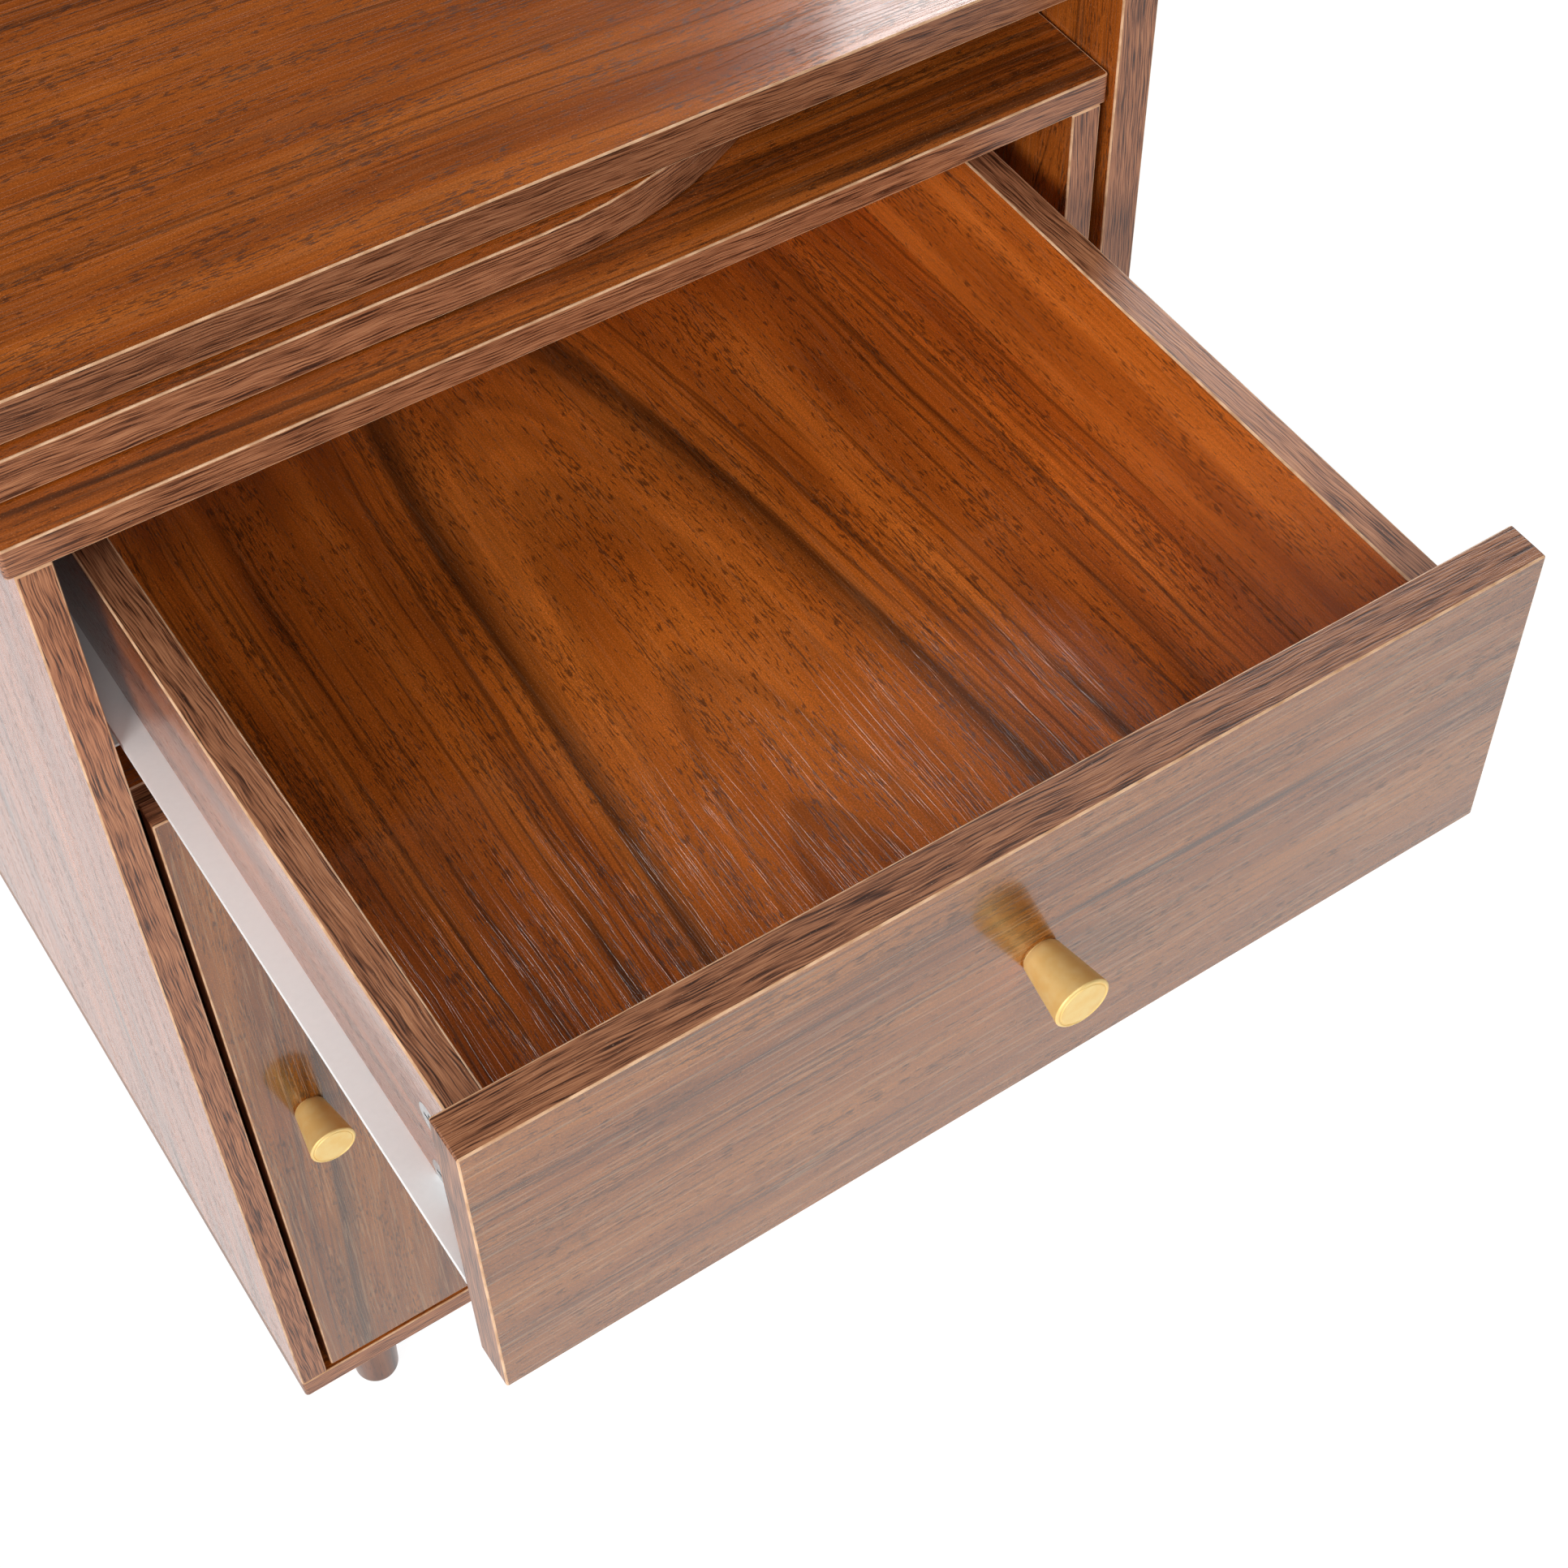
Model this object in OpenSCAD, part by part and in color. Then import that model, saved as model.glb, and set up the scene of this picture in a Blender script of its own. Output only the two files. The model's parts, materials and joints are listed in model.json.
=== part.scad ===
// Walnut desk with a swinging lower top and a drawer pedestal.
// The origin is on the floor, at the middle of the space that the desk takes with its drawer
// pulled out. The front faces -Y and Z is up. All sizes are in millimetres.

/* [Desk] */
// Overall width over the two slab sides
desk_w = 1200; // [1100:10:1500]
// Height of the upper top above the floor
desk_h = 775; // [740:5:800]
// Depth of the pedestal and of the slab sides
desk_d = 440; // [430:5:520]
// How far the slab sides stand in front of the pedestal
slab_proud = 3.5; // [0:0.5:6]
// Height of the modesty panel under the upper top
modesty_h = 320; // [200:10:500]
// How far the upper top's edge lies behind the pedestal's front
upper_set = 26; // [24:1:60]

/* [Boards] */
// Thickness of the upper top
upper_t = 18; // [16:1:25]
// Thickness of the slab sides
slab_t = 18; // [16:1:25]
// Thickness of the pedestal's boards
board_t = 14; // [13:0.5:18]
// Thickness of the thin back board
thin_t = 5; // [3:0.5:6]
// Radius of the boards' outer corners
corner_r = 2; // [1:0.5:4]

/* [Swinging top] */
// Space left behind the swinging top
swing_back_gap = 6; // [4:1:40]
// Thickness of the swinging top
swing_t = 18; // [16:1:25]
// How far the swinging top's edge lies behind the pedestal's front
swing_set = 20; // [16:1:26]
// Distance of the round end's tip from the pedestal's left side
tip_in = 422; // [400:1:430]
// Space left beside the swinging top's free end
free_end_gap = 20; // [18:1:40]
// Corner radius at the swinging top's free end
free_corner_r = 40; // [36:1:80]
// Thickness of the space that each glide ring fills
glide_space = 1; // [0.8:0.1:2]
// Outer diameter of the glide rings
glide_d = 120; // [80:5:160]
// Diameter of the pivot bolt
pivot_d = 8; // [6:1:10]
// Distance of the tall legs from the free end
tall_leg_in = 70; // [60:5:120]
// Distance between the two tall legs
tall_leg_span = 300; // [200:10:320]

/* [Pedestal] */
// Width over the pedestal's sides
pedestal_w = 463; // [440:1:520]
// Overhang of the pedestal's top past its sides
top_lip = 3; // [1:0.5:6]
// Gap between the pedestal's top and the slab side
slab_gap = 1; // [0.5:0.5:3]
// Length of the pedestal's legs
leg_h = 82; // [60:1:110]
// Diameter of a leg at its top
leg_top_d = 31; // [26:1:40]
// Diameter of a leg at its foot
leg_foot_d = 24; // [18:1:26]
// Distance of the legs from the pedestal's sides
leg_in_x = 48; // [36:1:70]
// Distance of the legs from the pedestal's front and back
leg_in_y = 36; // [30:1:70]
// Height of the shelf above the pedestal's floor
shelf_up = 220; // [150:10:300]

/* [Drawer] */
// Height of the drawer front
front_h = 150; // [130:1:170]
// Thickness of the drawer front
front_t = 18; // [15:1:19]
// Gap between the drawer front and the pedestal's boards
front_gap = 2.5; // [1:0.5:4]
// How far the closed fronts lie behind the pedestal's edges
face_set = 1; // [0:0.5:2]
// How far the drawer is pulled out
drawer_out = 282; // [0:1:290]
// Height of the drawer's sides
drawer_side_h = 88; // [70:1:95]
// Drop of the drawer's sides below the top of its front
side_drop = 32; // [20:1:40]
// Thickness of the drawer's bottom
drawer_floor_t = 5; // [4:0.5:6]
// Height of the groove for the bottom above the sides' lower edge
floor_up = 5.5; // [4:0.5:10]
// Drop of the drawer's knob below the top of its front
knob_drop = 70; // [50:1:80]

/* [Runners] */
// Space between the drawer and the pedestal's side for one runner
runner_gap = 13.5; // [13:0.1:14]
// Length of a runner
runner_l = 388; // [350:1:390]
// How much longer the drawer's sides are than a runner
side_extra = 7; // [4:1:10]
// Thickness of the runner's steel
steel_t = 1.2; // [1:0.1:1.5]
// Height of the drawer runner's web
web_h = 17; // [16:0.5:20]
// Diameter of a roller
roller_d = 14.4; // [13:0.2:15]
// Diameter of a roller's axle
axle_d = 5; // [4:0.5:6]

/* [Door] */
// Thickness of the door
door_t = 14; // [13:0.5:18]
// Gap between the door and the pedestal's sides
door_gap = 3.5; // [3:0.5:5]
// Gap between the door and the pedestal's floor
door_up = 2; // [1:0.5:4]
// Gap between the door and the drawer front
door_drop = 4; // [2:0.5:8]
// Distance of the door's knob from its free edge
door_knob_in = 27; // [20:1:50]
// Height of a hinge
hinge_h = 50; // [40:1:70]
// Distance of the hinges from the door's ends
hinge_in = 60; // [40:5:100]
// Diameter of a hinge's knuckle
knuckle_d = 6; // [5.5:0.5:7]
// Diameter of a hinge's pin
hinge_pin_d = 3; // [2:0.5:3.5]

/* [Knobs] */
// Length of a knob
knob_l = 25; // [18:1:32]
// Diameter of a knob's face
knob_face_d = 19; // [15:0.5:24]
// Diameter of a knob's neck
knob_neck_d = 12; // [8:0.5:13]
// Diameter of a knob's screw
knob_screw_d = 4; // [3:0.5:5]

/* [Fittings] */
// Diameter of a cam
cam_d = 15; // [12:1:16]
// Height of a cam
cam_h = 11; // [10:0.5:12]
// Distance of a cam's centre from the board's end
cam_in = 34; // [20:1:40]
// Diameter of a dowel
dowel_d = 8; // [6:1:8]
// Height of the glides under the slab sides
foot_h = 5; // [3:0.5:8]
// Diameter of the glides under the slab sides
foot_d = 14; // [10:1:16]
// Height of the glides under the tall legs
tall_glide_h = 4; // [3:0.5:8]

/* [Hidden] */
$fn = 64;

// clearances
slip = 0.05;
bore_slip = 0.1;
groove_slip = 0.2;
groove_deep = 5;
over = 1;

// heights, from the top down
upper_z = desk_h - upper_t;
swing_z = upper_z - glide_space - swing_t;
pedestal_top_z = swing_z - glide_space;
pedestal_under_z = pedestal_top_z - board_t;
base_z = leg_h;
floor_z = base_z + board_t;

// widths, from the right slab inwards
slab_in_x = desk_w / 2 - slab_t;
top_x1 = slab_in_x - slab_gap;
side_x1 = top_x1 - top_lip;
side_x0 = side_x1 - pedestal_w;
top_x0 = side_x0 - top_lip;
inner_x0 = side_x0 + board_t;
inner_x1 = side_x1 - board_t;

// depths
front_y = -(desk_d + face_set - drawer_out - knob_l) / 2;
back_y = front_y + desk_d;
slab_y = front_y - slab_proud;
upper_y = front_y + upper_set;
rail_y = back_y - board_t;
thin_y = rail_y - thin_t;

// swinging top
swing_w = desk_d - board_t - swing_set - swing_back_gap;
swing_r = swing_w / 2;
pivot_x = side_x0 + tip_in - swing_r;
pivot_y = front_y + swing_set + swing_r;
free_x = -slab_in_x + free_end_gap;
ring_t = glide_space - bore_slip;
ring_in_d = glide_d / 2;
bush_d = 2.5 * pivot_d;
bolt_head_d = 2 * pivot_d;
bolt_head_h = pivot_d * 0.4;
insert_d = 1.5 * pivot_d;
insert_h = upper_t * 0.7;
tall_leg_x = free_x + tall_leg_in;
tall_leg_top_d = 38;

// legs
leg_round = 7;
leg_bolt_d = 8;
leg_bolt_up = board_t * 0.7;
leg_bolt_down = 25;
leg_xs = [side_x0 + leg_in_x, side_x1 - leg_in_x];
leg_ys = [front_y + leg_in_y, back_y - leg_in_y];

// drawer front and door
front_z1 = pedestal_under_z - front_gap;
front_z0 = front_z1 - front_h;
front_x0 = inner_x0 + front_gap;
front_x1 = inner_x1 - front_gap;
closed_y = front_y + face_set;
open_y = closed_y - drawer_out;
drawer_l = runner_l + side_extra;
box_y0 = open_y + front_t;
box_y1 = box_y0 + drawer_l;
divider_z1 = front_z0;
divider_z0 = divider_z1 - board_t;
divider_y = closed_y + max(front_t, door_t) + 1;
door_z0 = floor_z + door_up;
door_z1 = front_z0 - door_drop;
door_x0 = inner_x0 + door_gap;
door_x1 = inner_x1 - door_gap;
door_back_y = closed_y + door_t;

// drawer box
box_x0 = inner_x0 + runner_gap;
box_x1 = inner_x1 - runner_gap;
box_z1 = front_z1 - side_drop;
box_z0 = box_z1 - drawer_side_h;
groove_z = box_z0 + floor_up;
drawer_floor_z = groove_z + drawer_floor_t;
drawer_back_z1 = box_z1 - 5;
knob_z = front_z1 - knob_drop;
knob_x = (front_x0 + front_x1) / 2;
door_knob_x = door_x0 + door_knob_in;
door_knob_z = (door_z0 + door_z1) / 2;

// runners, measured from the lower edge of the drawer's side and from the pedestal's side
roller_r = roller_d / 2;
roll_gap = 0.3;
flange_under = web_h - steel_t;
front_axle_z = box_z0 + flange_under - roll_gap - roller_r;
channel_floor = -4.5;
rear_axle_z = box_z0 + channel_floor + roll_gap + roller_r;
channel_top = channel_floor + roller_d + 2 * roll_gap + 0.6 + steel_t;
runner_lip = 3;
lip_out = 2.9;
channel_lip = 2;
cabinet_runner_y = closed_y + front_t + 3;
drawer_runner_y = box_y0 + 1;
axle_in = 10;
cabinet_hole_ys = [runner_l * 0.15, runner_l * 0.4, runner_l * 0.8];
drawer_hole_ys = [runner_l * 0.1, runner_l * 0.5, runner_l * 0.85];
runner_hole_d = 4.5;
front_axle_y = cabinet_runner_y + axle_in;
rear_axle_y = drawer_runner_y + runner_l - axle_in;
channel_from = 28;
roller_w = 6;
front_roller_out = 4.4;
rear_roller_out = 4.6;
axle_head_t = 1.1;
boss_d = 7;

// hinges
hinge_x = inner_x1 - door_gap / 2;
hinge_y = closed_y - knuckle_d / 2 - 1;
leaf_t = 1.2;
knuckle_gap = 0.4;
knuckle_h = (hinge_h - 2 * knuckle_gap) / 3;
hinge_zs = [door_z0 + hinge_in, door_z1 - hinge_in - hinge_h];

// shelf
shelf_z = floor_z + shelf_up;
shelf_y = divider_y + 20;
pin_d = 5;
pin_deep = 9;
pin_out = 8;
pin_step = 32;
pin_in = 50;
pin_ys = [shelf_y + pin_in, thin_y - pin_in];

// catch
catch_w = 40;
catch_d = 28;
catch_h = 13;
catch_x = inner_x0 + 30;
strike_d = 12;
strike_t = 1.5;
catch_z = divider_z0 - catch_h / 2;

// cam joints: place of the board's end and rotation, where local +X runs into the board
// that holds the cam and local +Z leaves the mouth of the cam's bore
cam_set = 60;
cam_ys = [front_y + cam_set, back_y - cam_set];
modesty_z0 = upper_z - modesty_h;
panel_zs = [pedestal_top_z - cam_set, modesty_z0 + cam_set];
upper_joints = [
    for (y = cam_ys) [[slab_in_x, y, upper_z + upper_t / 2], [0, 180, 0]],
    for (y = cam_ys) [[-slab_in_x, y, upper_z + upper_t / 2], [180, 0, 0]]
];
left_joints = [
    for (y = cam_ys) [[side_x0 + board_t / 2, y, pedestal_under_z], [0, 90, 0]],
    for (y = cam_ys) [[side_x0 + board_t / 2, y, floor_z], [0, -90, 180]]
];
right_joints = [
    for (y = cam_ys) [[side_x1 - board_t / 2, y, pedestal_under_z], [0, 90, 180]],
    for (y = cam_ys) [[side_x1 - board_t / 2, y, floor_z], [0, -90, 0]]
];
divider_joints = [
    for (y = cam_ys) [[inner_x0, y, divider_z0 + board_t / 2], [180, 0, 0]],
    for (y = cam_ys) [[inner_x1, y, divider_z0 + board_t / 2], [0, 180, 0]]
];
modesty_joints = [
    for (z = panel_zs) [[-slab_in_x, rail_y + board_t / 2, z], [-90, 0, 0]],
    for (z = panel_zs) [[side_x0, rail_y + board_t / 2, z], [90, 0, 180]]
];
side_cam_zs = [box_z1 - drawer_side_h / 3, box_z1 - drawer_side_h * 3 / 4];
drawer_left_joints = [
    for (z = side_cam_zs) [[box_x0 + board_t / 2, box_y0, z], [-90, 0, 90]]
];
drawer_right_joints = [
    for (z = side_cam_zs) [[box_x1 - board_t / 2, box_y0, z], [90, 0, 90]]
];
frame_joints = concat(upper_joints, left_joints, right_joints, divider_joints, modesty_joints);

// dowels
dowel_sink = 10;
dowel_in = 60;
rail_dowel_xs = [side_x0 + dowel_in, (side_x0 + side_x1) / 2, side_x1 - dowel_in];
modesty_dowel_xs = [-slab_in_x + 2 * dowel_in, (side_x0 - slab_in_x) / 2, side_x0 - 2 * dowel_in];
dowel_y = rail_y + board_t / 2;

// colours
walnut = [0.50, 0.27, 0.14];
walnut_dark = [0.42, 0.24, 0.15];
brass = [0.85, 0.66, 0.30];
zinc = [0.72, 0.73, 0.74];
white_steel = [0.88, 0.89, 0.88];
nylon = [0.86, 0.85, 0.74];
hardboard = [0.45, 0.30, 0.18];

// General shapes

module box(x0, x1, y0, y1, z0, z1) {
    translate([x0, y0, z0])
        cube([x1 - x0, y1 - y0, z1 - z0]);
}

// a flat rectangle with round corners, from its two outer corners
module round_rect(x0, x1, y0, y1, r) {
    translate([x0 + r, y0])
        square([x1 - x0 - 2 * r, y1 - y0]);
    translate([x0, y0 + r])
        square([x1 - x0, y1 - y0 - 2 * r]);
    for (x = [x0 + r, x1 - r], y = [y0 + r, y1 - r])
        translate([x, y])
            circle(r = r);
}

// a board lying flat, with round corners in plan
module flat_board(x0, x1, y0, y1, z0, z1, r) {
    translate([0, 0, z0])
        linear_extrude(z1 - z0)
            round_rect(x0, x1, y0, y1, r);
}

// a board standing across the desk, with round corners in the front view
module front_board(x0, x1, y0, y1, z0, z1, r) {
    translate([0, y1, 0])
        rotate([90, 0, 0])
            linear_extrude(y1 - y0)
                round_rect(x0, x1, z0, z1, r);
}

// a board standing along the desk's depth, with round corners in the side view
module side_board(x0, x1, y0, y1, z0, z1, r) {
    translate([x0, 0, 0])
        rotate([90, 0, 90])
            linear_extrude(x1 - x0)
                round_rect(y0, y1, z0, z1, r);
}

module place_joint(joint) {
    translate(joint[0])
        rotate(joint[1])
            children();
}

// the bores that one cam joint needs in its two boards, where t is the cam board's thickness
module cam_bores(t) {
    translate([cam_in, 0, t / 2 - cam_h - bore_slip])
        cylinder(d = cam_d + 2 * bore_slip, h = cam_h + bore_slip + over);
    translate([-over / 10, 0, 0])
        rotate([0, 90, 0])
            cylinder(d = cam_bolt_d + 2 * bore_slip, h = cam_in);
    translate([-cam_bolt_sink - bore_slip, 0, 0])
        rotate([0, 90, 0])
            cylinder(d = cam_thread_d + 2 * slip, h = cam_bolt_sink + over);
}
cam_bolt_d = 6;
cam_thread_d = 5;
cam_bolt_sink = 10;

// the cam, a disc with a crossed driver slot in its open face
module cam(t) {
    slot_l = cam_d * 0.6;
    slot_w = 1.6;
    translate([cam_in, 0, t / 2 - cam_h])
        difference() {
            cylinder(d = cam_d, h = cam_h);
            translate([0, 0, cam_h])
                cube([slot_l, slot_w, 3], center = true);
            translate([0, 0, cam_h])
                cube([slot_w, slot_l, 3], center = true);
        }
}

// the bolt that the cam pulls on
module cam_bolt() {
    neck_l = cam_in - cam_d / 2 - bore_slip;
    rotate([0, 90, 0]) {
        cylinder(d = cam_bolt_d, h = neck_l);
        translate([0, 0, -cam_bolt_sink])
            cylinder(d = cam_thread_d, h = cam_bolt_sink + over);
    }
}

// a turned leg from its foot at z0 to its top, tapering to a rounded foot
module turned_leg(x, y, z0, z1, top_d, foot_d) {
    translate([x, y, z0])
        difference() {
            rotate_extrude() {
                intersection() {
                    union() {
                        polygon([[0, 0], [foot_d / 2 - leg_round, 0], [foot_d / 2, leg_round],
                            [top_d / 2, z1 - z0], [0, z1 - z0]]);
                        translate([foot_d / 2 - leg_round, leg_round])
                            circle(r = leg_round);
                    }
                    square([top_d, z1 - z0]);
                }
            }
            translate([0, 0, z1 - z0 - leg_bolt_down - bore_slip])
                cylinder(d = leg_bolt_d + 2 * slip, h = leg_bolt_down + over);
        }
}

// a hanger bolt that joins a leg to the board above it
module leg_bolt(x, y, z, up) {
    translate([x, y, z - leg_bolt_down])
        cylinder(d = leg_bolt_d, h = leg_bolt_down + up);
}

module leg_bolt_bore(x, y, z, up) {
    translate([x, y, z - over])
        cylinder(d = leg_bolt_d + 2 * slip, h = over + up + bore_slip);
}

// a knob along -Y whose neck stands on the face at y
module knob(x, y, z) {
    edge = 1.2;
    translate([x, y, z])
        rotate([90, 0, 0])
            difference() {
                rotate_extrude()
                    polygon([[0, 0], [knob_neck_d / 2 - edge / 3, 0],
                        [knob_neck_d / 2, edge / 3], [knob_face_d / 2, knob_l - 2 * edge],
                        [knob_face_d / 2, knob_l - edge], [knob_face_d / 2 - edge, knob_l], [0, knob_l]]);
                translate([0, 0, -over])
                    cylinder(d = knob_screw_d + 2 * slip, h = knob_l / 2 + over);
            }
}

// the screw that holds a knob from the back of a front of thickness t
module knob_screw(x, y, z, t) {
    head_d = 2 * knob_screw_d;
    head_t = knob_screw_d * 0.6;
    translate([x, y, z])
        rotate([90, 0, 0])
            translate([0, 0, -t]) {
                cylinder(d = knob_screw_d, h = t + knob_l / 2 - 1);
                translate([0, 0, -head_t])
                    cylinder(d = head_d, h = head_t);
            }
}

module knob_bore(x, y, z, t) {
    translate([x, y + t + over, z])
        rotate([90, 0, 0])
            cylinder(d = knob_screw_d + 2 * bore_slip, h = t + 2 * over);
}

// a length of bent steel along Y from its outline in X and Z
module steel_strip(y0, length, outline) {
    translate([0, y0 + length, 0])
        rotate([90, 0, 0])
            linear_extrude(length)
                polygon(outline);
}

// The shapes of the left runner, measured from the pedestal's inner face in X and from the
// drawer side's lower edge in Z. The right runner is the same, mirrored.

module on_left_runner() {
    translate([inner_x0, 0, box_z0])
        children();
}

module on_right_runner() {
    translate([inner_x1, 0, box_z0])
        mirror([1, 0, 0])
            children();
}

module cabinet_runner() {
    s = steel_t;
    wide = runner_gap - 0.2;
    web_top = front_axle_z - box_z0 + boss_d / 2;
    low = channel_floor;
    difference() {
        union() {
            steel_strip(cabinet_runner_y, runner_l, [
                [0, low - s], [wide, low - s], [wide, low + channel_lip],
                [wide - s, low + channel_lip], [wide - s, low], [s, low], [s, channel_top], [0, channel_top]
            ]);
            steel_strip(cabinet_runner_y, channel_from, [[0, low], [s, low], [s, web_top], [0, web_top]]);
            steel_strip(cabinet_runner_y + channel_from, runner_l - channel_from, [
                [0, channel_top - s], [wide - 4, channel_top - s], [wide - 4, channel_top], [0, channel_top]
            ]);
            translate([0, front_axle_y, front_axle_z - box_z0])
                rotate([0, 90, 0])
                    cylinder(d = boss_d, h = front_roller_out - roll_gap);
        }
        translate([-over, front_axle_y, front_axle_z - box_z0])
            rotate([0, 90, 0])
                cylinder(d = axle_d - 1 + 2 * slip, h = front_roller_out + 2 * over);
        for (y = cabinet_hole_ys)
            translate([-over, cabinet_runner_y + y, (channel_floor + channel_top) / 2])
                rotate([0, 90, 0])
                    cylinder(d = runner_hole_d, h = s + 2 * over);
    }
}

module drawer_runner() {
    s = steel_t;
    g = runner_gap;
    difference() {
        union() {
            steel_strip(drawer_runner_y, runner_l, [
                [g - s, -s], [g + 10, -s], [g + 10, 0], [g, 0], [g, web_h], [lip_out, web_h],
                [lip_out, flange_under - runner_lip], [lip_out + s, flange_under - runner_lip],
                [lip_out + s, flange_under], [g - s, flange_under]
            ]);
            translate([rear_roller_out + roller_w + roll_gap, rear_axle_y, rear_axle_z - box_z0])
                rotate([0, 90, 0])
                    cylinder(d = boss_d, h = g - s / 2 - rear_roller_out - roller_w - roll_gap);
        }
        translate([rear_roller_out, rear_axle_y, rear_axle_z - box_z0])
            rotate([0, 90, 0])
                cylinder(d = axle_d - 1 + 2 * slip, h = g - rear_roller_out + over);
        for (y = drawer_hole_ys)
            translate([g - s - over, drawer_runner_y + y, web_h / 2])
                rotate([0, 90, 0])
                    cylinder(d = runner_hole_d, h = s + 2 * over);
    }
}

module front_axle() {
    translate([0, front_axle_y, front_axle_z - box_z0])
        rotate([0, 90, 0]) {
            cylinder(d = axle_d - 1, h = front_roller_out);
            translate([0, 0, front_roller_out - roll_gap])
                cylinder(d = axle_d, h = roller_w + 2 * roll_gap);
            translate([0, 0, front_roller_out + roller_w + roll_gap])
                cylinder(d = boss_d, h = axle_head_t);
        }
}

module rear_axle() {
    translate([0, rear_axle_y, rear_axle_z - box_z0])
        rotate([0, 90, 0]) {
            translate([0, 0, rear_roller_out - roll_gap - axle_head_t])
                cylinder(d = boss_d, h = axle_head_t);
            translate([0, 0, rear_roller_out - roll_gap])
                cylinder(d = axle_d, h = roller_w + 2 * roll_gap);
            translate([0, 0, rear_roller_out + roller_w])
                cylinder(d = axle_d - 1, h = runner_gap - rear_roller_out - roller_w);
        }
}

// a nylon roller with a bore for its axle and a lightening groove in each side
module roller(out, y, z) {
    web = 2.4;
    translate([out, y, z - box_z0])
        rotate([0, 90, 0])
            rotate_extrude()
                polygon([
                    [axle_d / 2 + slip, 0], [boss_d / 2 + 0.4, 0], [boss_d / 2 + 0.4, (roller_w - web) / 2],
                    [roller_r - 1.6, (roller_w - web) / 2], [roller_r - 1.6, 0], [roller_r - 0.4, 0],
                    [roller_r, 0.6], [roller_r, roller_w - 0.6], [roller_r - 0.4, roller_w],
                    [roller_r - 1.6, roller_w], [roller_r - 1.6, (roller_w + web) / 2],
                    [boss_d / 2 + 0.4, (roller_w + web) / 2], [boss_d / 2 + 0.4, roller_w],
                    [axle_d / 2 + slip, roller_w]
                ]);
}

// a hinge knuckle on the hinge's axis, from height a to b, with its pin's bore
module knuckle(z, a, b) {
    translate([hinge_x, hinge_y, z + a])
        difference() {
            cylinder(d = knuckle_d, h = b - a);
            translate([0, 0, -over])
                cylinder(d = hinge_pin_d + 2 * slip, h = b - a + 2 * over);
        }
}

// Boards of the fixed desk

module upper_top() {
    color(walnut)
        difference() {
            box(-slab_in_x, slab_in_x, upper_y, back_y, upper_z, desk_h);
            for (joint = upper_joints)
                place_joint(joint)
                    cam_bores(upper_t);
            translate([pivot_x, pivot_y, upper_z - over])
                cylinder(d = insert_d + 2 * slip, h = insert_h + over);
            frame_dowel_bores();
        }
}

module slab(x0, x1) {
    side_board(x0, x1, slab_y, back_y, foot_h, desk_h, corner_r);
}

module right_slab() {
    color(walnut_dark)
        difference() {
            slab(slab_in_x, desk_w / 2);
            for (joint = upper_joints)
                place_joint(joint)
                    cam_bores(upper_t);
            glide_bores();
        }
}

module left_slab() {
    color(walnut_dark)
        difference() {
            slab(-desk_w / 2, -slab_in_x);
            for (joint = concat(upper_joints, modesty_joints))
                place_joint(joint)
                    cam_bores(board_t);
            glide_bores();
        }
}

module modesty_panel() {
    color(walnut)
        difference() {
            box(-slab_in_x, side_x0, rail_y, back_y, modesty_z0, upper_z);
            for (joint = modesty_joints)
                place_joint(joint)
                    cam_bores(board_t);
            frame_dowel_bores();
        }
}

module rear_rail() {
    color(walnut_dark)
        difference() {
            box(side_x0, slab_in_x, rail_y, back_y, pedestal_top_z, upper_z);
            frame_dowel_bores();
        }
}

module frame_dowel_bores() {
    for (x = rail_dowel_xs)
        translate([x, dowel_y, pedestal_top_z - dowel_sink - bore_slip])
            cylinder(d = dowel_d + 2 * slip, h = upper_z - pedestal_top_z + 2 * (dowel_sink + bore_slip));
    for (x = modesty_dowel_xs)
        translate([x, dowel_y, upper_z - 2 * dowel_sink - bore_slip])
            cylinder(d = dowel_d + 2 * slip, h = 3 * dowel_sink + 2 * bore_slip);
}

// Boards of the pedestal

module pedestal_top() {
    color(walnut)
        difference() {
            flat_board(top_x0, top_x1, front_y, back_y, pedestal_top_z - board_t, pedestal_top_z, corner_r);
            box(top_x0 - over, side_x0, rail_y - groove_slip, back_y + over,
                pedestal_top_z - board_t - over, pedestal_top_z + over);
            thin_back_space();
            for (joint = concat(left_joints, right_joints))
                place_joint(joint)
                    cam_bores(board_t);
            frame_dowel_bores();
            translate([pivot_x, pivot_y, pedestal_top_z - board_t - over])
                cylinder(d = pivot_d + 2 * bore_slip, h = board_t + 2 * over);
        }
}

module thin_back_space() {
    box(inner_x0 - groove_deep, inner_x1 + groove_deep, thin_y - groove_slip, thin_y + thin_t + groove_slip,
        floor_z - groove_deep, pedestal_under_z + groove_deep);
}

module side_bores(joints) {
    for (joint = joints)
        place_joint(joint)
            cam_bores(board_t);
    for (joint = divider_joints)
        place_joint(joint)
            cam_bores(board_t);
    for (y = pin_ys, up = [-pin_step, 0, pin_step])
        translate([inner_x0 - pin_deep - bore_slip, y, shelf_z - pin_d / 2 + up])
            rotate([0, 90, 0])
                cylinder(d = pin_d + 2 * slip, h = inner_x1 - inner_x0 + 2 * (pin_deep + bore_slip));
}

module pedestal_left() {
    color(walnut_dark)
        difference() {
            box(side_x0, inner_x0, front_y, back_y, floor_z, pedestal_under_z);
            thin_back_space();
            side_bores(left_joints);
            for (joint = modesty_joints)
                place_joint(joint)
                    cam_bores(board_t);
        }
}

module pedestal_right() {
    color(walnut_dark)
        difference() {
            box(inner_x1, side_x1, front_y, back_y, floor_z, pedestal_under_z);
            thin_back_space();
            side_bores(right_joints);
        }
}

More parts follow.
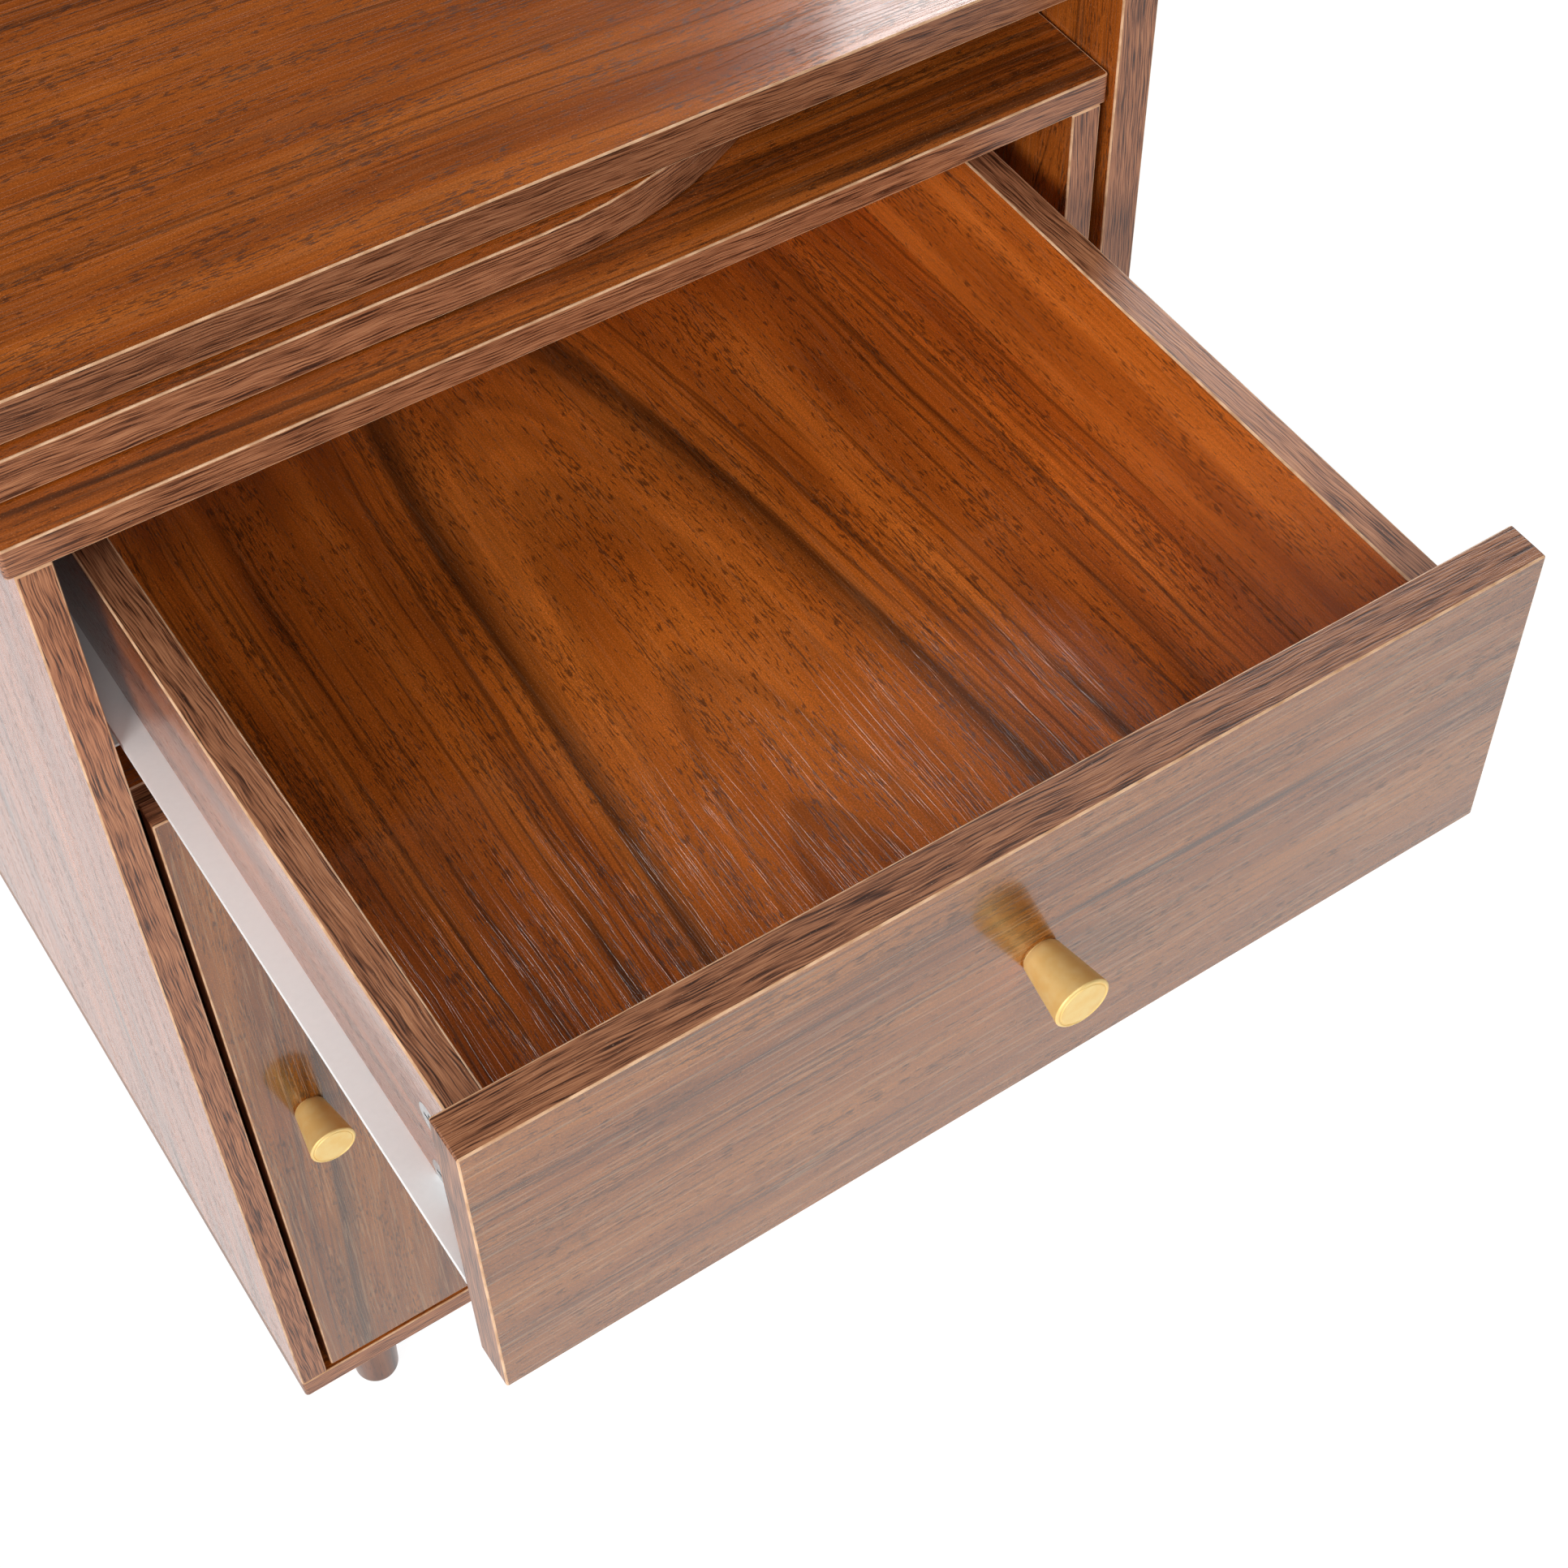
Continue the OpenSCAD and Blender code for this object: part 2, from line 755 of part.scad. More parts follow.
module pedestal_base() {
    color(walnut_dark)
        difference() {
            flat_board(side_x0, side_x1, front_y, back_y, base_z, floor_z, corner_r);
            thin_back_space();
            for (joint = concat(left_joints, right_joints))
                place_joint(joint)
                    cam_bores(board_t);
            for (x = leg_xs, y = leg_ys)
                leg_bolt_bore(x, y, base_z, leg_bolt_up);
        }
}

module divider() {
    color(walnut)
        difference() {
            box(inner_x0, inner_x1, divider_y, thin_y, divider_z0, divider_z1);
            for (joint = divider_joints)
                place_joint(joint)
                    cam_bores(board_t);
        }
}

module pedestal_back() {
    color(hardboard)
        box(inner_x0 - groove_deep + groove_slip, inner_x1 + groove_deep - groove_slip,
            thin_y, thin_y + thin_t,
            floor_z - groove_deep + groove_slip, pedestal_under_z + groove_deep - groove_slip);
}

module shelf() {
    side_slip = 0.5;
    color(walnut)
        box(inner_x0 + side_slip, inner_x1 - side_slip, shelf_y, thin_y - side_slip,
            shelf_z, shelf_z + board_t);
}

module shelf_pins() {
    color(zinc)
        for (y = pin_ys, side = [0, 1])
            translate([side == 0 ? inner_x0 - pin_deep : inner_x1 - pin_out, y, shelf_z - pin_d / 2])
                rotate([0, 90, 0])
                    cylinder(d = pin_d, h = pin_deep + pin_out);
}

// Legs and feet

module pedestal_leg(x, y) {
    color(walnut_dark)
        turned_leg(x, y, 0, base_z, leg_top_d, leg_foot_d);
}

module leg_front_left() {
    pedestal_leg(leg_xs[0], leg_ys[0]);
}

module leg_front_right() {
    pedestal_leg(leg_xs[1], leg_ys[0]);
}

module leg_rear_left() {
    pedestal_leg(leg_xs[0], leg_ys[1]);
}

module leg_rear_right() {
    pedestal_leg(leg_xs[1], leg_ys[1]);
}

module leg_bolts() {
    color(zinc)
        for (x = leg_xs, y = leg_ys)
            leg_bolt(x, y, base_z, leg_bolt_up);
}

foot_stem_d = 5;
foot_stem_l = 15;
foot_xs = [-desk_w / 2 + slab_t / 2, desk_w / 2 - slab_t / 2];

module slab_glides() {
    color(nylon)
        for (x = foot_xs, y = leg_ys)
            translate([x, y, 0]) {
                rotate_extrude()
                    polygon([[0, 0], [foot_d / 2 - 1.5, 0], [foot_d / 2, 1.5], [foot_d / 2, foot_h], [0, foot_h]]);
                cylinder(d = foot_stem_d, h = foot_h + foot_stem_l);
            }
}

module glide_bores() {
    for (x = foot_xs, y = leg_ys)
        translate([x, y, 0])
            cylinder(d = foot_stem_d + 2 * slip, h = foot_h + foot_stem_l + bore_slip);
}

// Fittings of the fixed desk

module frame_cams() {
    color(zinc) {
        for (joint = upper_joints)
            place_joint(joint)
                cam(upper_t);
        for (joint = concat(left_joints, right_joints, divider_joints, modesty_joints))
            place_joint(joint)
                cam(board_t);
    }
}

module frame_cam_bolts() {
    color(zinc)
        for (joint = frame_joints)
            place_joint(joint)
                cam_bolt();
}

module frame_dowels() {
    color([0.80, 0.66, 0.45]) {
        for (x = rail_dowel_xs)
            translate([x, dowel_y, pedestal_top_z - dowel_sink])
                cylinder(d = dowel_d, h = upper_z - pedestal_top_z + 2 * dowel_sink);
        for (x = modesty_dowel_xs)
            translate([x, dowel_y, upper_z - 2 * dowel_sink])
                cylinder(d = dowel_d, h = 3 * dowel_sink);
    }
}

module glide_ring(z) {
    color(nylon)
        translate([pivot_x, pivot_y, z])
            difference() {
                cylinder(d = glide_d, h = ring_t);
                translate([0, 0, -over])
                    cylinder(d = ring_in_d, h = ring_t + 2 * over);
            }
}

module lower_glide_ring() {
    glide_ring(pedestal_top_z);
}

module upper_glide_ring() {
    glide_ring(upper_z - ring_t);
}

module pivot_bolt() {
    color(zinc)
        translate([pivot_x, pivot_y, pedestal_under_z - bolt_head_h]) {
            difference() {
                cylinder(d = bolt_head_d, h = bolt_head_h);
                translate([0, 0, -over])
                    cylinder(d = pivot_d * 0.6, h = bolt_head_h * 0.6 + over, $fn = 6);
            }
            cylinder(d = pivot_d, h = bolt_head_h + upper_z - pedestal_under_z + insert_h - over);
        }
}

module pivot_insert() {
    color(brass)
        translate([pivot_x, pivot_y, upper_z])
            difference() {
                cylinder(d = insert_d, h = insert_h);
                translate([0, 0, -over])
                    cylinder(d = pivot_d + 2 * slip, h = insert_h + 2 * over);
            }
}

// Runners and rollers

module left_cabinet_runner() {
    color(white_steel)
        on_left_runner()
            cabinet_runner();
}

module right_cabinet_runner() {
    color(white_steel)
        on_right_runner()
            cabinet_runner();
}

module front_axles() {
    color(zinc) {
        on_left_runner()
            front_axle();
        on_right_runner()
            front_axle();
    }
}

module left_front_roller() {
    color(nylon)
        on_left_runner()
            roller(front_roller_out, front_axle_y, front_axle_z);
}

module right_front_roller() {
    color(nylon)
        on_right_runner()
            roller(front_roller_out, front_axle_y, front_axle_z);
}

module left_drawer_runner() {
    color(white_steel)
        on_left_runner()
            drawer_runner();
}

module right_drawer_runner() {
    color(white_steel)
        on_right_runner()
            drawer_runner();
}

module rear_axles() {
    color(zinc) {
        on_left_runner()
            rear_axle();
        on_right_runner()
            rear_axle();
    }
}

module left_rear_roller() {
    color(nylon)
        on_left_runner()
            roller(rear_roller_out, rear_axle_y, rear_axle_z);
}

module right_rear_roller() {
    color(nylon)
        on_right_runner()
            roller(rear_roller_out, rear_axle_y, rear_axle_z);
}

// Drawer

module drawer_floor_space() {
    box(box_x0 + board_t - groove_deep, box_x1 - board_t + groove_deep, box_y0 - groove_deep, box_y1 + over,
        groove_z - groove_slip, drawer_floor_z + groove_slip);
}

module drawer_front() {
    color(walnut_dark)
        difference() {
            front_board(front_x0, front_x1, open_y, box_y0, front_z0, front_z1, corner_r / 2);
            drawer_floor_space();
            for (joint = concat(drawer_left_joints, drawer_right_joints))
                place_joint(joint)
                    cam_bores(board_t);
            knob_bore(knob_x, open_y, knob_z, front_t);
        }
}

module drawer_left_side() {
    color(walnut)
        difference() {
            box(box_x0, box_x0 + board_t, box_y0, box_y1, box_z0, box_z1);
            drawer_floor_space();
            for (joint = drawer_left_joints)
                place_joint(joint)
                    cam_bores(board_t);
        }
}

module drawer_right_side() {
    color(walnut)
        difference() {
            box(box_x1 - board_t, box_x1, box_y0, box_y1, box_z0, box_z1);
            drawer_floor_space();
            for (joint = drawer_right_joints)
                place_joint(joint)
                    cam_bores(board_t);
        }
}

module drawer_back() {
    color(walnut)
        box(box_x0 + board_t, box_x1 - board_t, box_y1 - board_t, box_y1,
            drawer_floor_z + groove_slip, drawer_back_z1);
}

module drawer_bottom() {
    color(walnut)
        box(box_x0 + board_t - groove_deep + groove_slip, box_x1 - board_t + groove_deep - groove_slip,
            box_y0 - groove_deep + groove_slip, box_y1, groove_z, drawer_floor_z);
}

module drawer_cams() {
    color(zinc)
        for (joint = concat(drawer_left_joints, drawer_right_joints))
            place_joint(joint)
                cam(board_t);
}

module drawer_cam_bolts() {
    color(zinc)
        for (joint = concat(drawer_left_joints, drawer_right_joints))
            place_joint(joint)
                cam_bolt();
}

module drawer_knob() {
    color(brass)
        knob(knob_x, open_y, knob_z);
}

module drawer_knob_screw() {
    color(zinc)
        knob_screw(knob_x, open_y, knob_z, front_t);
}

// Door, its hinges and its catch

module door_panel() {
    color(walnut_dark)
        difference() {
            front_board(door_x0, door_x1, closed_y, door_back_y, door_z0, door_z1, corner_r / 2);
            knob_bore(door_knob_x, closed_y, door_knob_z, door_t);
        }
}

module door_knob() {
    color(brass)
        knob(door_knob_x, closed_y, door_knob_z);
}

module door_knob_screw() {
    color(zinc)
        knob_screw(door_knob_x, closed_y, door_knob_z, door_t);
}

module hinge_frame_leaves() {
    color(brass)
        for (z = hinge_zs) {
            knuckle(z, 0, knuckle_h);
            knuckle(z, 2 * (knuckle_h + knuckle_gap), hinge_h);
            difference() {
                box(inner_x1 - leaf_t, inner_x1, hinge_y, door_back_y - 1, z, z + hinge_h);
                hinge_cuts(z, knuckle_h, 2 * (knuckle_h + knuckle_gap));
            }
        }
}

module hinge_door_leaves() {
    color(brass)
        for (z = hinge_zs) {
            knuckle(z, knuckle_h + knuckle_gap, 2 * knuckle_h + knuckle_gap);
            difference() {
                box(door_x1, door_x1 + leaf_t, hinge_y, door_back_y - 1, z, z + hinge_h);
                hinge_cuts(z, -over, knuckle_h + knuckle_gap);
                hinge_cuts(z, 2 * knuckle_h + knuckle_gap, hinge_h + over);
            }
        }
}

// clears the other leaf's knuckle and the pin's bore out of a leaf
module hinge_cuts(z, a, b) {
    translate([hinge_x, hinge_y, z + a])
        cylinder(d = knuckle_d + 1, h = b - a);
    translate([hinge_x, hinge_y, z - over])
        cylinder(d = hinge_pin_d + 2 * slip, h = hinge_h + 2 * over);
}

module hinge_pins() {
    color(brass)
        for (z = hinge_zs)
            translate([hinge_x, hinge_y, z - 1]) {
                cylinder(d = hinge_pin_d, h = hinge_h + 2);
                cylinder(d = knuckle_d - 1, h = 1 - slip);
                translate([0, 0, hinge_h + 1 + slip])
                    cylinder(d = knuckle_d - 1, h = 1);
            }
}

module catch_body() {
    mouth = 3;
    color(walnut_dark)
        difference() {
            box(catch_x, catch_x + catch_w, door_back_y + strike_t + roll_gap, door_back_y + catch_d,
                divider_z0 - catch_h, divider_z0);
            box(catch_x + mouth, catch_x + catch_w - mouth, door_back_y, door_back_y + mouth,
                divider_z0 - catch_h + mouth, divider_z0 - mouth);
            box(catch_x - over, catch_x + catch_w + over, door_back_y, divider_y - bore_slip,
                divider_z0 - bore_slip, divider_z0 + over);
        }
}

module door_strike() {
    color(zinc)
        translate([catch_x + catch_w / 2, door_back_y + strike_t, catch_z])
            rotate([90, 0, 0])
                cylinder(d = strike_d, h = strike_t);
}

// Swinging top

module swing_top() {
    color(walnut)
        difference() {
            translate([0, 0, swing_z])
                linear_extrude(swing_t) {
                    translate([pivot_x, pivot_y])
                        circle(r = swing_r, $fn = 180);
                    translate([free_x + free_corner_r, pivot_y - swing_r])
                        square([pivot_x - free_x - free_corner_r, swing_w]);
                    translate([free_x, pivot_y - swing_r + free_corner_r])
                        square([free_corner_r, swing_w - 2 * free_corner_r]);
                    for (y = [-1, 1])
                        translate([free_x + free_corner_r, pivot_y + y * (swing_r - free_corner_r)])
                            circle(r = free_corner_r);
                }
            translate([pivot_x, pivot_y, swing_z - over])
                cylinder(d = bush_d + 2 * slip, h = swing_t + 2 * over);
            for (y = [-1, 1])
                leg_bolt_bore(tall_leg_x, pivot_y + y * tall_leg_span / 2, swing_z, leg_bolt_up);
        }
}

module pivot_bush() {
    color(nylon)
        translate([pivot_x, pivot_y, swing_z])
            difference() {
                cylinder(d = bush_d, h = swing_t);
                translate([0, 0, -over])
                    cylinder(d = pivot_d + 2 * slip, h = swing_t + 2 * over);
            }
}

module tall_leg(side) {
    color(walnut_dark)
        turned_leg(tall_leg_x, pivot_y + side * tall_leg_span / 2, tall_glide_h, swing_z,
            tall_leg_top_d, leg_foot_d);
}

module swing_leg_front() {
    tall_leg(-1);
}

module swing_leg_rear() {
    tall_leg(1);
}

module swing_leg_bolts() {
    color(zinc)
        for (y = [-1, 1])
            leg_bolt(tall_leg_x, pivot_y + y * tall_leg_span / 2, swing_z, leg_bolt_up);
}

module swing_glides() {
    glide_foot_d = leg_foot_d - 2 * leg_round;
    color(nylon)
        for (y = [-1, 1])
            translate([tall_leg_x, pivot_y + y * tall_leg_span / 2, 0])
                rotate_extrude()
                    polygon([[0, 0], [glide_foot_d / 2, 0], [glide_foot_d / 2 + 1.5, 1.5],
                        [glide_foot_d / 2 + 1.5, tall_glide_h], [0, tall_glide_h]]);
}

upper_top();
right_slab();
left_slab();
modesty_panel();
rear_rail();
pedestal_top();
pedestal_left();
pedestal_right();
pedestal_base();
divider();
pedestal_back();
shelf();
shelf_pins();
leg_front_left();
leg_front_right();
leg_rear_left();
leg_rear_right();
leg_bolts();
slab_glides();
frame_cams();
frame_cam_bolts();
frame_dowels();
lower_glide_ring();
upper_glide_ring();
pivot_bolt();
pivot_insert();
left_cabinet_runner();
right_cabinet_runner();
front_axles();
left_front_roller();
right_front_roller();
hinge_frame_leaves();
hinge_pins();
catch_body();
drawer_front();
drawer_left_side();
drawer_right_side();
drawer_back();
drawer_bottom();
drawer_cams();
drawer_cam_bolts();
left_drawer_runner();
right_drawer_runner();
rear_axles();
drawer_knob();
drawer_knob_screw();
left_rear_roller();
right_rear_roller();
door_panel();
door_knob();
door_knob_screw();
hinge_door_leaves();
door_strike();
swing_top();
pivot_bush();
swing_leg_front();
swing_leg_rear();
swing_leg_bolts();
swing_glides();
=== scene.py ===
# %% [markdown]
# # A walnut desk with a swinging top and a drawer pedestal
# The real desk is made of flat boards, covered with a printed walnut sheet and banded along their
# edges. The engineering model already gives every board, leg, runner and knob its true size and place.
# This notebook loads that model and gives it its looks: the printed grain, the dark edge banding with
# its pale trimmed corners, the satin brass knobs, the white steel runners, and a studio around it all.
# All lengths are in metres, in the frame of the engineering model.

# %% Load the desk
import json
import math

import bmesh
import bpy
import numpy as np
from mathutils import Matrix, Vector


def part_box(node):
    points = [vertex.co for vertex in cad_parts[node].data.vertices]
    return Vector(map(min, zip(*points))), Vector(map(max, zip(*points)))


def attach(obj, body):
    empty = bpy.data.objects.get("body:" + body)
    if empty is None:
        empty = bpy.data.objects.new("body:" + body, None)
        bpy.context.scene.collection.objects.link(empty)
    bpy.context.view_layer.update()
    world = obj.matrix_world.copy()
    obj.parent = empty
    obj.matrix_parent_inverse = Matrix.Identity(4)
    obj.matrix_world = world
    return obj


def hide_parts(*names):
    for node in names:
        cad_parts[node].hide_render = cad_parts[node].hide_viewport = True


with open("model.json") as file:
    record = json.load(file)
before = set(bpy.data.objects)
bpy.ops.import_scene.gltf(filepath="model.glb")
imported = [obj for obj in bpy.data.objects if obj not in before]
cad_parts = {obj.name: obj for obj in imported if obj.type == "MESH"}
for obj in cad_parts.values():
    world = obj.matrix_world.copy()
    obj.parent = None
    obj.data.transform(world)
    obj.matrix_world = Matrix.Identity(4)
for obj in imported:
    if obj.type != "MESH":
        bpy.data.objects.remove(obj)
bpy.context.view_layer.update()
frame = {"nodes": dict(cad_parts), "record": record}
nodes = frame["nodes"]
bodies = frame["record"]["behaviour"]["bodies"]
body_of = {name: body for body, names in bodies.items() for name in names}
slot_of = {part["node"]: part["material_slot"] for part in frame["record"]["subparts"]}

# %% [markdown]
# ## The camera
# A picture like this one is taken from the front left, well above the desk, with a long lens. A camera
# is placed by where it stands and by three turns. Instead of turning an object three times, the three
# directions it needs are worked out here, which leaves no doubt about the order of the turns. The lens
# and the shift follow from the focal length and the middle point of the picture, both in pixels.

# %% Place the camera
PICTURE_PX = 1932
FOCAL_PX = 3363.2
MIDDLE_PX = (1145.3, 883.0)
SENSOR_MM = 36.0
CAMERA_AT = np.array([0.00505, -0.74409, 1.42264])
YAW, PITCH, ROLL = np.radians([-36.335, -51.094, 2.030])

ahead = np.array([-math.sin(YAW) * math.cos(PITCH), math.cos(YAW) * math.cos(PITCH), math.sin(PITCH)])
level = np.array([math.cos(YAW), math.sin(YAW), 0.0])
above = np.cross(level, ahead)
right = math.cos(ROLL) * level + math.sin(ROLL) * above
up = -math.sin(ROLL) * level + math.cos(ROLL) * above

lens = bpy.data.cameras.new("photo_camera")
lens.sensor_width = SENSOR_MM
lens.lens = SENSOR_MM * FOCAL_PX / PICTURE_PX
lens.shift_x = (PICTURE_PX / 2 - MIDDLE_PX[0]) / PICTURE_PX
lens.shift_y = (MIDDLE_PX[1] - PICTURE_PX / 2) / PICTURE_PX
camera = bpy.data.objects.new("photo_camera", lens)
stand = np.eye(4)
stand[:3] = np.stack([right, up, -ahead, CAMERA_AT], 1)
camera.matrix_world = Matrix(stand.tolist())
bpy.context.scene.collection.objects.link(camera)
bpy.context.scene.camera = camera
print("lens", round(lens.lens, 2), "mm, shift", round(lens.shift_x, 4), round(lens.shift_y, 4))

# %% [markdown]
# ## Small tools for materials
# A material is a graph of nodes. The same few moves return all the time: feed a value in, mix two
# colours, look a number up on a ramp. One small class keeps the graph and gives each move a short
# name, so that the finishes below read as recipes. The room's light is a graph too and uses the same
# class.

# %% A class for graphs
def opaque(colour):
    """Red, green, blue and an alpha of 1, from a tuple, or from one number that stands for a grey."""
    return (*colour, 1.0) if isinstance(colour, tuple) else (colour, colour, colour, 1.0)


class Recipe:
    """The node graph of a material or of the world, with one short method for each kind of step."""

    def __init__(self, owner):
        owner.use_nodes = True
        self.owner = owner
        self.tree = owner.node_tree

    def feed(self, socket, value):
        """Links value to a socket if it is another node's output, and else writes it there."""
        if isinstance(value, bpy.types.NodeSocket):
            self.tree.links.new(value, socket)
        elif value is not None:
            socket.default_value = opaque(value) if socket.type == "RGBA" else value

    def step(self, kind, out=0, settings=None, **inputs):
        """Adds a node, sets it up, feeds its inputs and returns one output. An input goes by its name,
        with _ for a space, or by _ and its number."""
        node = self.tree.nodes.new(kind)
        for key, value in (settings or {}).items():
            setattr(node, key, value)
        for key, value in inputs.items():
            socket = int(key[1:]) if key[0] == "_" else key.replace("_", " ")
            self.feed(node.inputs[socket], value)
        return node.outputs[out]

    def reckon(self, operation, a, b=None):
        """One arithmetic operation on a and b, which are numbers or outputs."""
        return self.step("ShaderNodeMath", settings={"operation": operation}, _0=a, _1=b)

    def plus(self, a, b):
        return self.reckon("ADD", a, b)

    def minus(self, a, b):
        return self.reckon("SUBTRACT", a, b)

    def times(self, a, b):
        return self.reckon("MULTIPLY", a, b)

    def noise(self, vector, scale=1.0, detail=2.0, roughness=0.5, distortion=0.0):
        """Smooth random values, about 0 to 1 and mostly near a half, that vary over the vector."""
        return self.step("ShaderNodeTexNoise", Vector=vector, Scale=scale, Detail=detail,
                         Roughness=roughness, Distortion=distortion)

    def ramp(self, value, *stops):
        """Turns a number into a colour, or a grey, by interpolating between (position, colour) stops."""
        node = self.tree.nodes.new("ShaderNodeValToRGB")
        marks = node.color_ramp.elements
        while len(marks) < len(stops):
            marks.new(0.5)
        for mark, (position, colour) in zip(marks, stops):
            mark.position = position
            mark.color = opaque(colour)
        self.feed(node.inputs[0], value)
        return node.outputs[0]

    def mix(self, amount, a, b, blend="MIX"):
        """Mixes colour a with colour b by amount, where 0 is all a."""
        return self.step("ShaderNodeMix", out=2, settings={"data_type": "RGBA", "blend_type": blend},
                         _0=amount, _6=a, _7=b)

    def stretched(self, u, v, along, across, offset=0.0):
        """The vector (u * along, v * across, offset): a small factor stretches the pattern that way."""
        return self.step("ShaderNodeCombineXYZ", _0=self.times(u, along), _1=self.times(v, across), _2=offset)

    def sheet_place(self):
        """u and v of a board's own coordinates: metres along the grain and across it."""
        place = self.step("ShaderNodeUVMap", settings={"uv_map": "sheet"})
        split = self.tree.nodes.new("ShaderNodeSeparateXYZ")
        self.feed(split.inputs[0], place)
        return split.outputs[0], split.outputs[1]

    def point(self):
        """Object coordinates, which are metres in the desk's frame."""
        return self.step("ShaderNodeTexCoord", out=3)

    def rays(self, *kinds):
        """1 for a ray of one of these kinds, and else 0."""
        path = self.tree.nodes.new("ShaderNodeLightPath")
        any_of = path.outputs[f"Is {kinds[0]} Ray"]
        for kind in kinds[1:]:
            any_of = self.reckon("MAXIMUM", any_of, path.outputs[f"Is {kind} Ray"])
        return any_of

    def finish(self, colour, roughness, metallic=0.0, bump=None, depth=0.0001, **more):
        """Feeds the shader, adds a bump that is depth metres high, and returns the material."""
        shader = self.tree.nodes["Principled BSDF"]
        sockets = {"Base Color": colour, "Roughness": roughness, "Metallic": metallic, "IOR": 1.5}
        sockets |= {key.replace("_", " "): value for key, value in more.items()}
        if bump is not None:
            sockets["Normal"] = self.step("ShaderNodeBump", Strength=1.0, Distance=depth, Height=bump)
        for key, value in sockets.items():
            self.feed(shader.inputs[key], value)
        return self.owner


def new_material(name):
    """A recipe for a new material."""
    return Recipe(bpy.data.materials.new(name))


# %% [markdown]
# ## The walnut print
# The sheet on the boards is a photograph of walnut veneer. Veneer is a slice through a log, so the
# dark lines are its year rings, cut nearly along the trunk. The slice follows a simple formula: with
# u along the grain and v across it, a point lies at the radius sqrt(v squared + (t times u) squared)
# from the trunk's axis, where t is how steeply the trunk leans through the slice. Near v = 0 the
# rings close in arches, and far from it they run straight. Each board reads its own window of this
# sheet, so one formula gives both kinds of figure.
#
# Dark lines near the arches lie at radii that are set one by one, because the eye compares them with
# the real drawer's bottom. Further out they come from a noise over the radius.

# %% Rings of the trunk
LEAN = 0.12
SKEW = 0.15
RAMP_PER_METRE = 5.0
DARK_LINE = (0.030, 0.009, 0.003)
HAIR_LINE = (0.045, 0.013, 0.004)


def trunk_place(mat, u, v):
    """The distance v across the grain, with a wander from two noises, less SKEW times its own size,
    and the radius sqrt(side squared + (LEAN u) squared)."""
    slow = mat.minus(mat.noise(mat.stretched(u, v, 2.6, 6.0)), 0.5)
    quick = mat.minus(mat.noise(mat.stretched(u, v, 16.0, 60.0, 3.0), detail=3.0), 0.5)
    side = mat.plus(v, mat.plus(mat.times(slow, 0.016), mat.times(quick, 0.0026)))
    side = mat.minus(side, mat.times(mat.reckon("ABSOLUTE", side), SKEW))
    lean = mat.times(u, LEAN)
    radius = mat.reckon("SQRT", mat.plus(mat.times(side, side), mat.times(lean, lean)))
    return side, radius


def band_colour(mat, u, v, radius, light):
    """Broad light and deep bands: a noise over the radius and one over patches pick a brown."""
    bands = mat.noise(mat.stretched(radius, u, 52.0, 0.9, 5.0))
    patch = mat.noise(mat.stretched(u, v, 7.0, 42.0, 8.0))
    tone = mat.plus(mat.times(bands, 0.62), mat.times(patch, 0.38))
    wood = mat.ramp(tone, (0.32, (0.210, 0.044, 0.005)), (0.47, (0.345, 0.079, 0.008)),
                    (0.64, (0.480, 0.124, 0.016)))
    return mat.mix(1.0, wood, light, "MULTIPLY")


def with_year_lines(mat, wood, u, radius):
    """The colour with dark lines at set radii near the arch and at random ones beyond it, and with
    thin hair lines, mostly beyond it too. Strong adds to both, so that they come in groups."""
    reach = mat.times(radius, RAMP_PER_METRE)
    arch = mat.ramp(reach, (0.150, 0.0), (0.172, 0.30), (0.180, 0.42), (0.184, 0.05), (0.214, 0.10),
                    (0.228, 0.30), (0.234, 0.0), (0.28, 0.05), (0.300, 0.25), (0.305, 0.0),
                    (0.350, 0.05), (0.385, 0.80), (0.400, 0.95), (0.408, 0.10), (0.45, 0.0))
    beyond = mat.ramp(reach, (0.30, 0.0), (0.45, 1.0))
    strong = mat.minus(mat.noise(mat.stretched(radius, u, 14.0, 1.3, 15.0), detail=1.0), 0.5)
    years = mat.noise(mat.stretched(radius, u, 120.0, 2.6, 11.0), detail=4.0, roughness=0.60)
    lines = mat.ramp(mat.plus(years, mat.times(strong, 0.50)), (0.57, 0.0), (0.66, 0.5), (0.74, 1.0))
    dark = mat.reckon("MAXIMUM", arch, mat.times(lines, beyond))
    wood = mat.mix(mat.times(dark, 0.85), wood, DARK_LINE)
    hair = mat.noise(mat.stretched(radius, u, 430.0, 3.4, 31.0), roughness=0.6)
    hair = mat.ramp(mat.plus(hair, mat.times(strong, 0.40)), (0.56, 0.0), (0.64, 1.0))
    share = mat.plus(mat.times(beyond, 0.46), 0.07)
    return mat.mix(mat.times(hair, share), wood, HAIR_LINE)


# %% [markdown]
# The rings alone look like a drawing. Four finer layers make them wood: fibre that is long and very
# narrow, short dark pores that stand in clusters, dots of less than a millimetre that roughen every
# tone, and pale specks that are painted glints. A press plate has added long shallow grooves, along
# which pale lines are painted as sheen, faint on most boards and strong on the boards at the front.

# %% The printed sheet
DARK_PORE = (0.040, 0.011, 0.003)
# Painted highlight: the colour of the pale specks that stand in for tiny glints on the lacquer.
PAINTED_GLINT = (0.82, 0.46, 0.22)
# Painted sheen: the pale colour painted along the grooves, in place of the light they catch.
PAINTED_GROOVE_SHEEN = (0.66, 0.42, 0.23)
PRESS_DEPTH = 0.00006


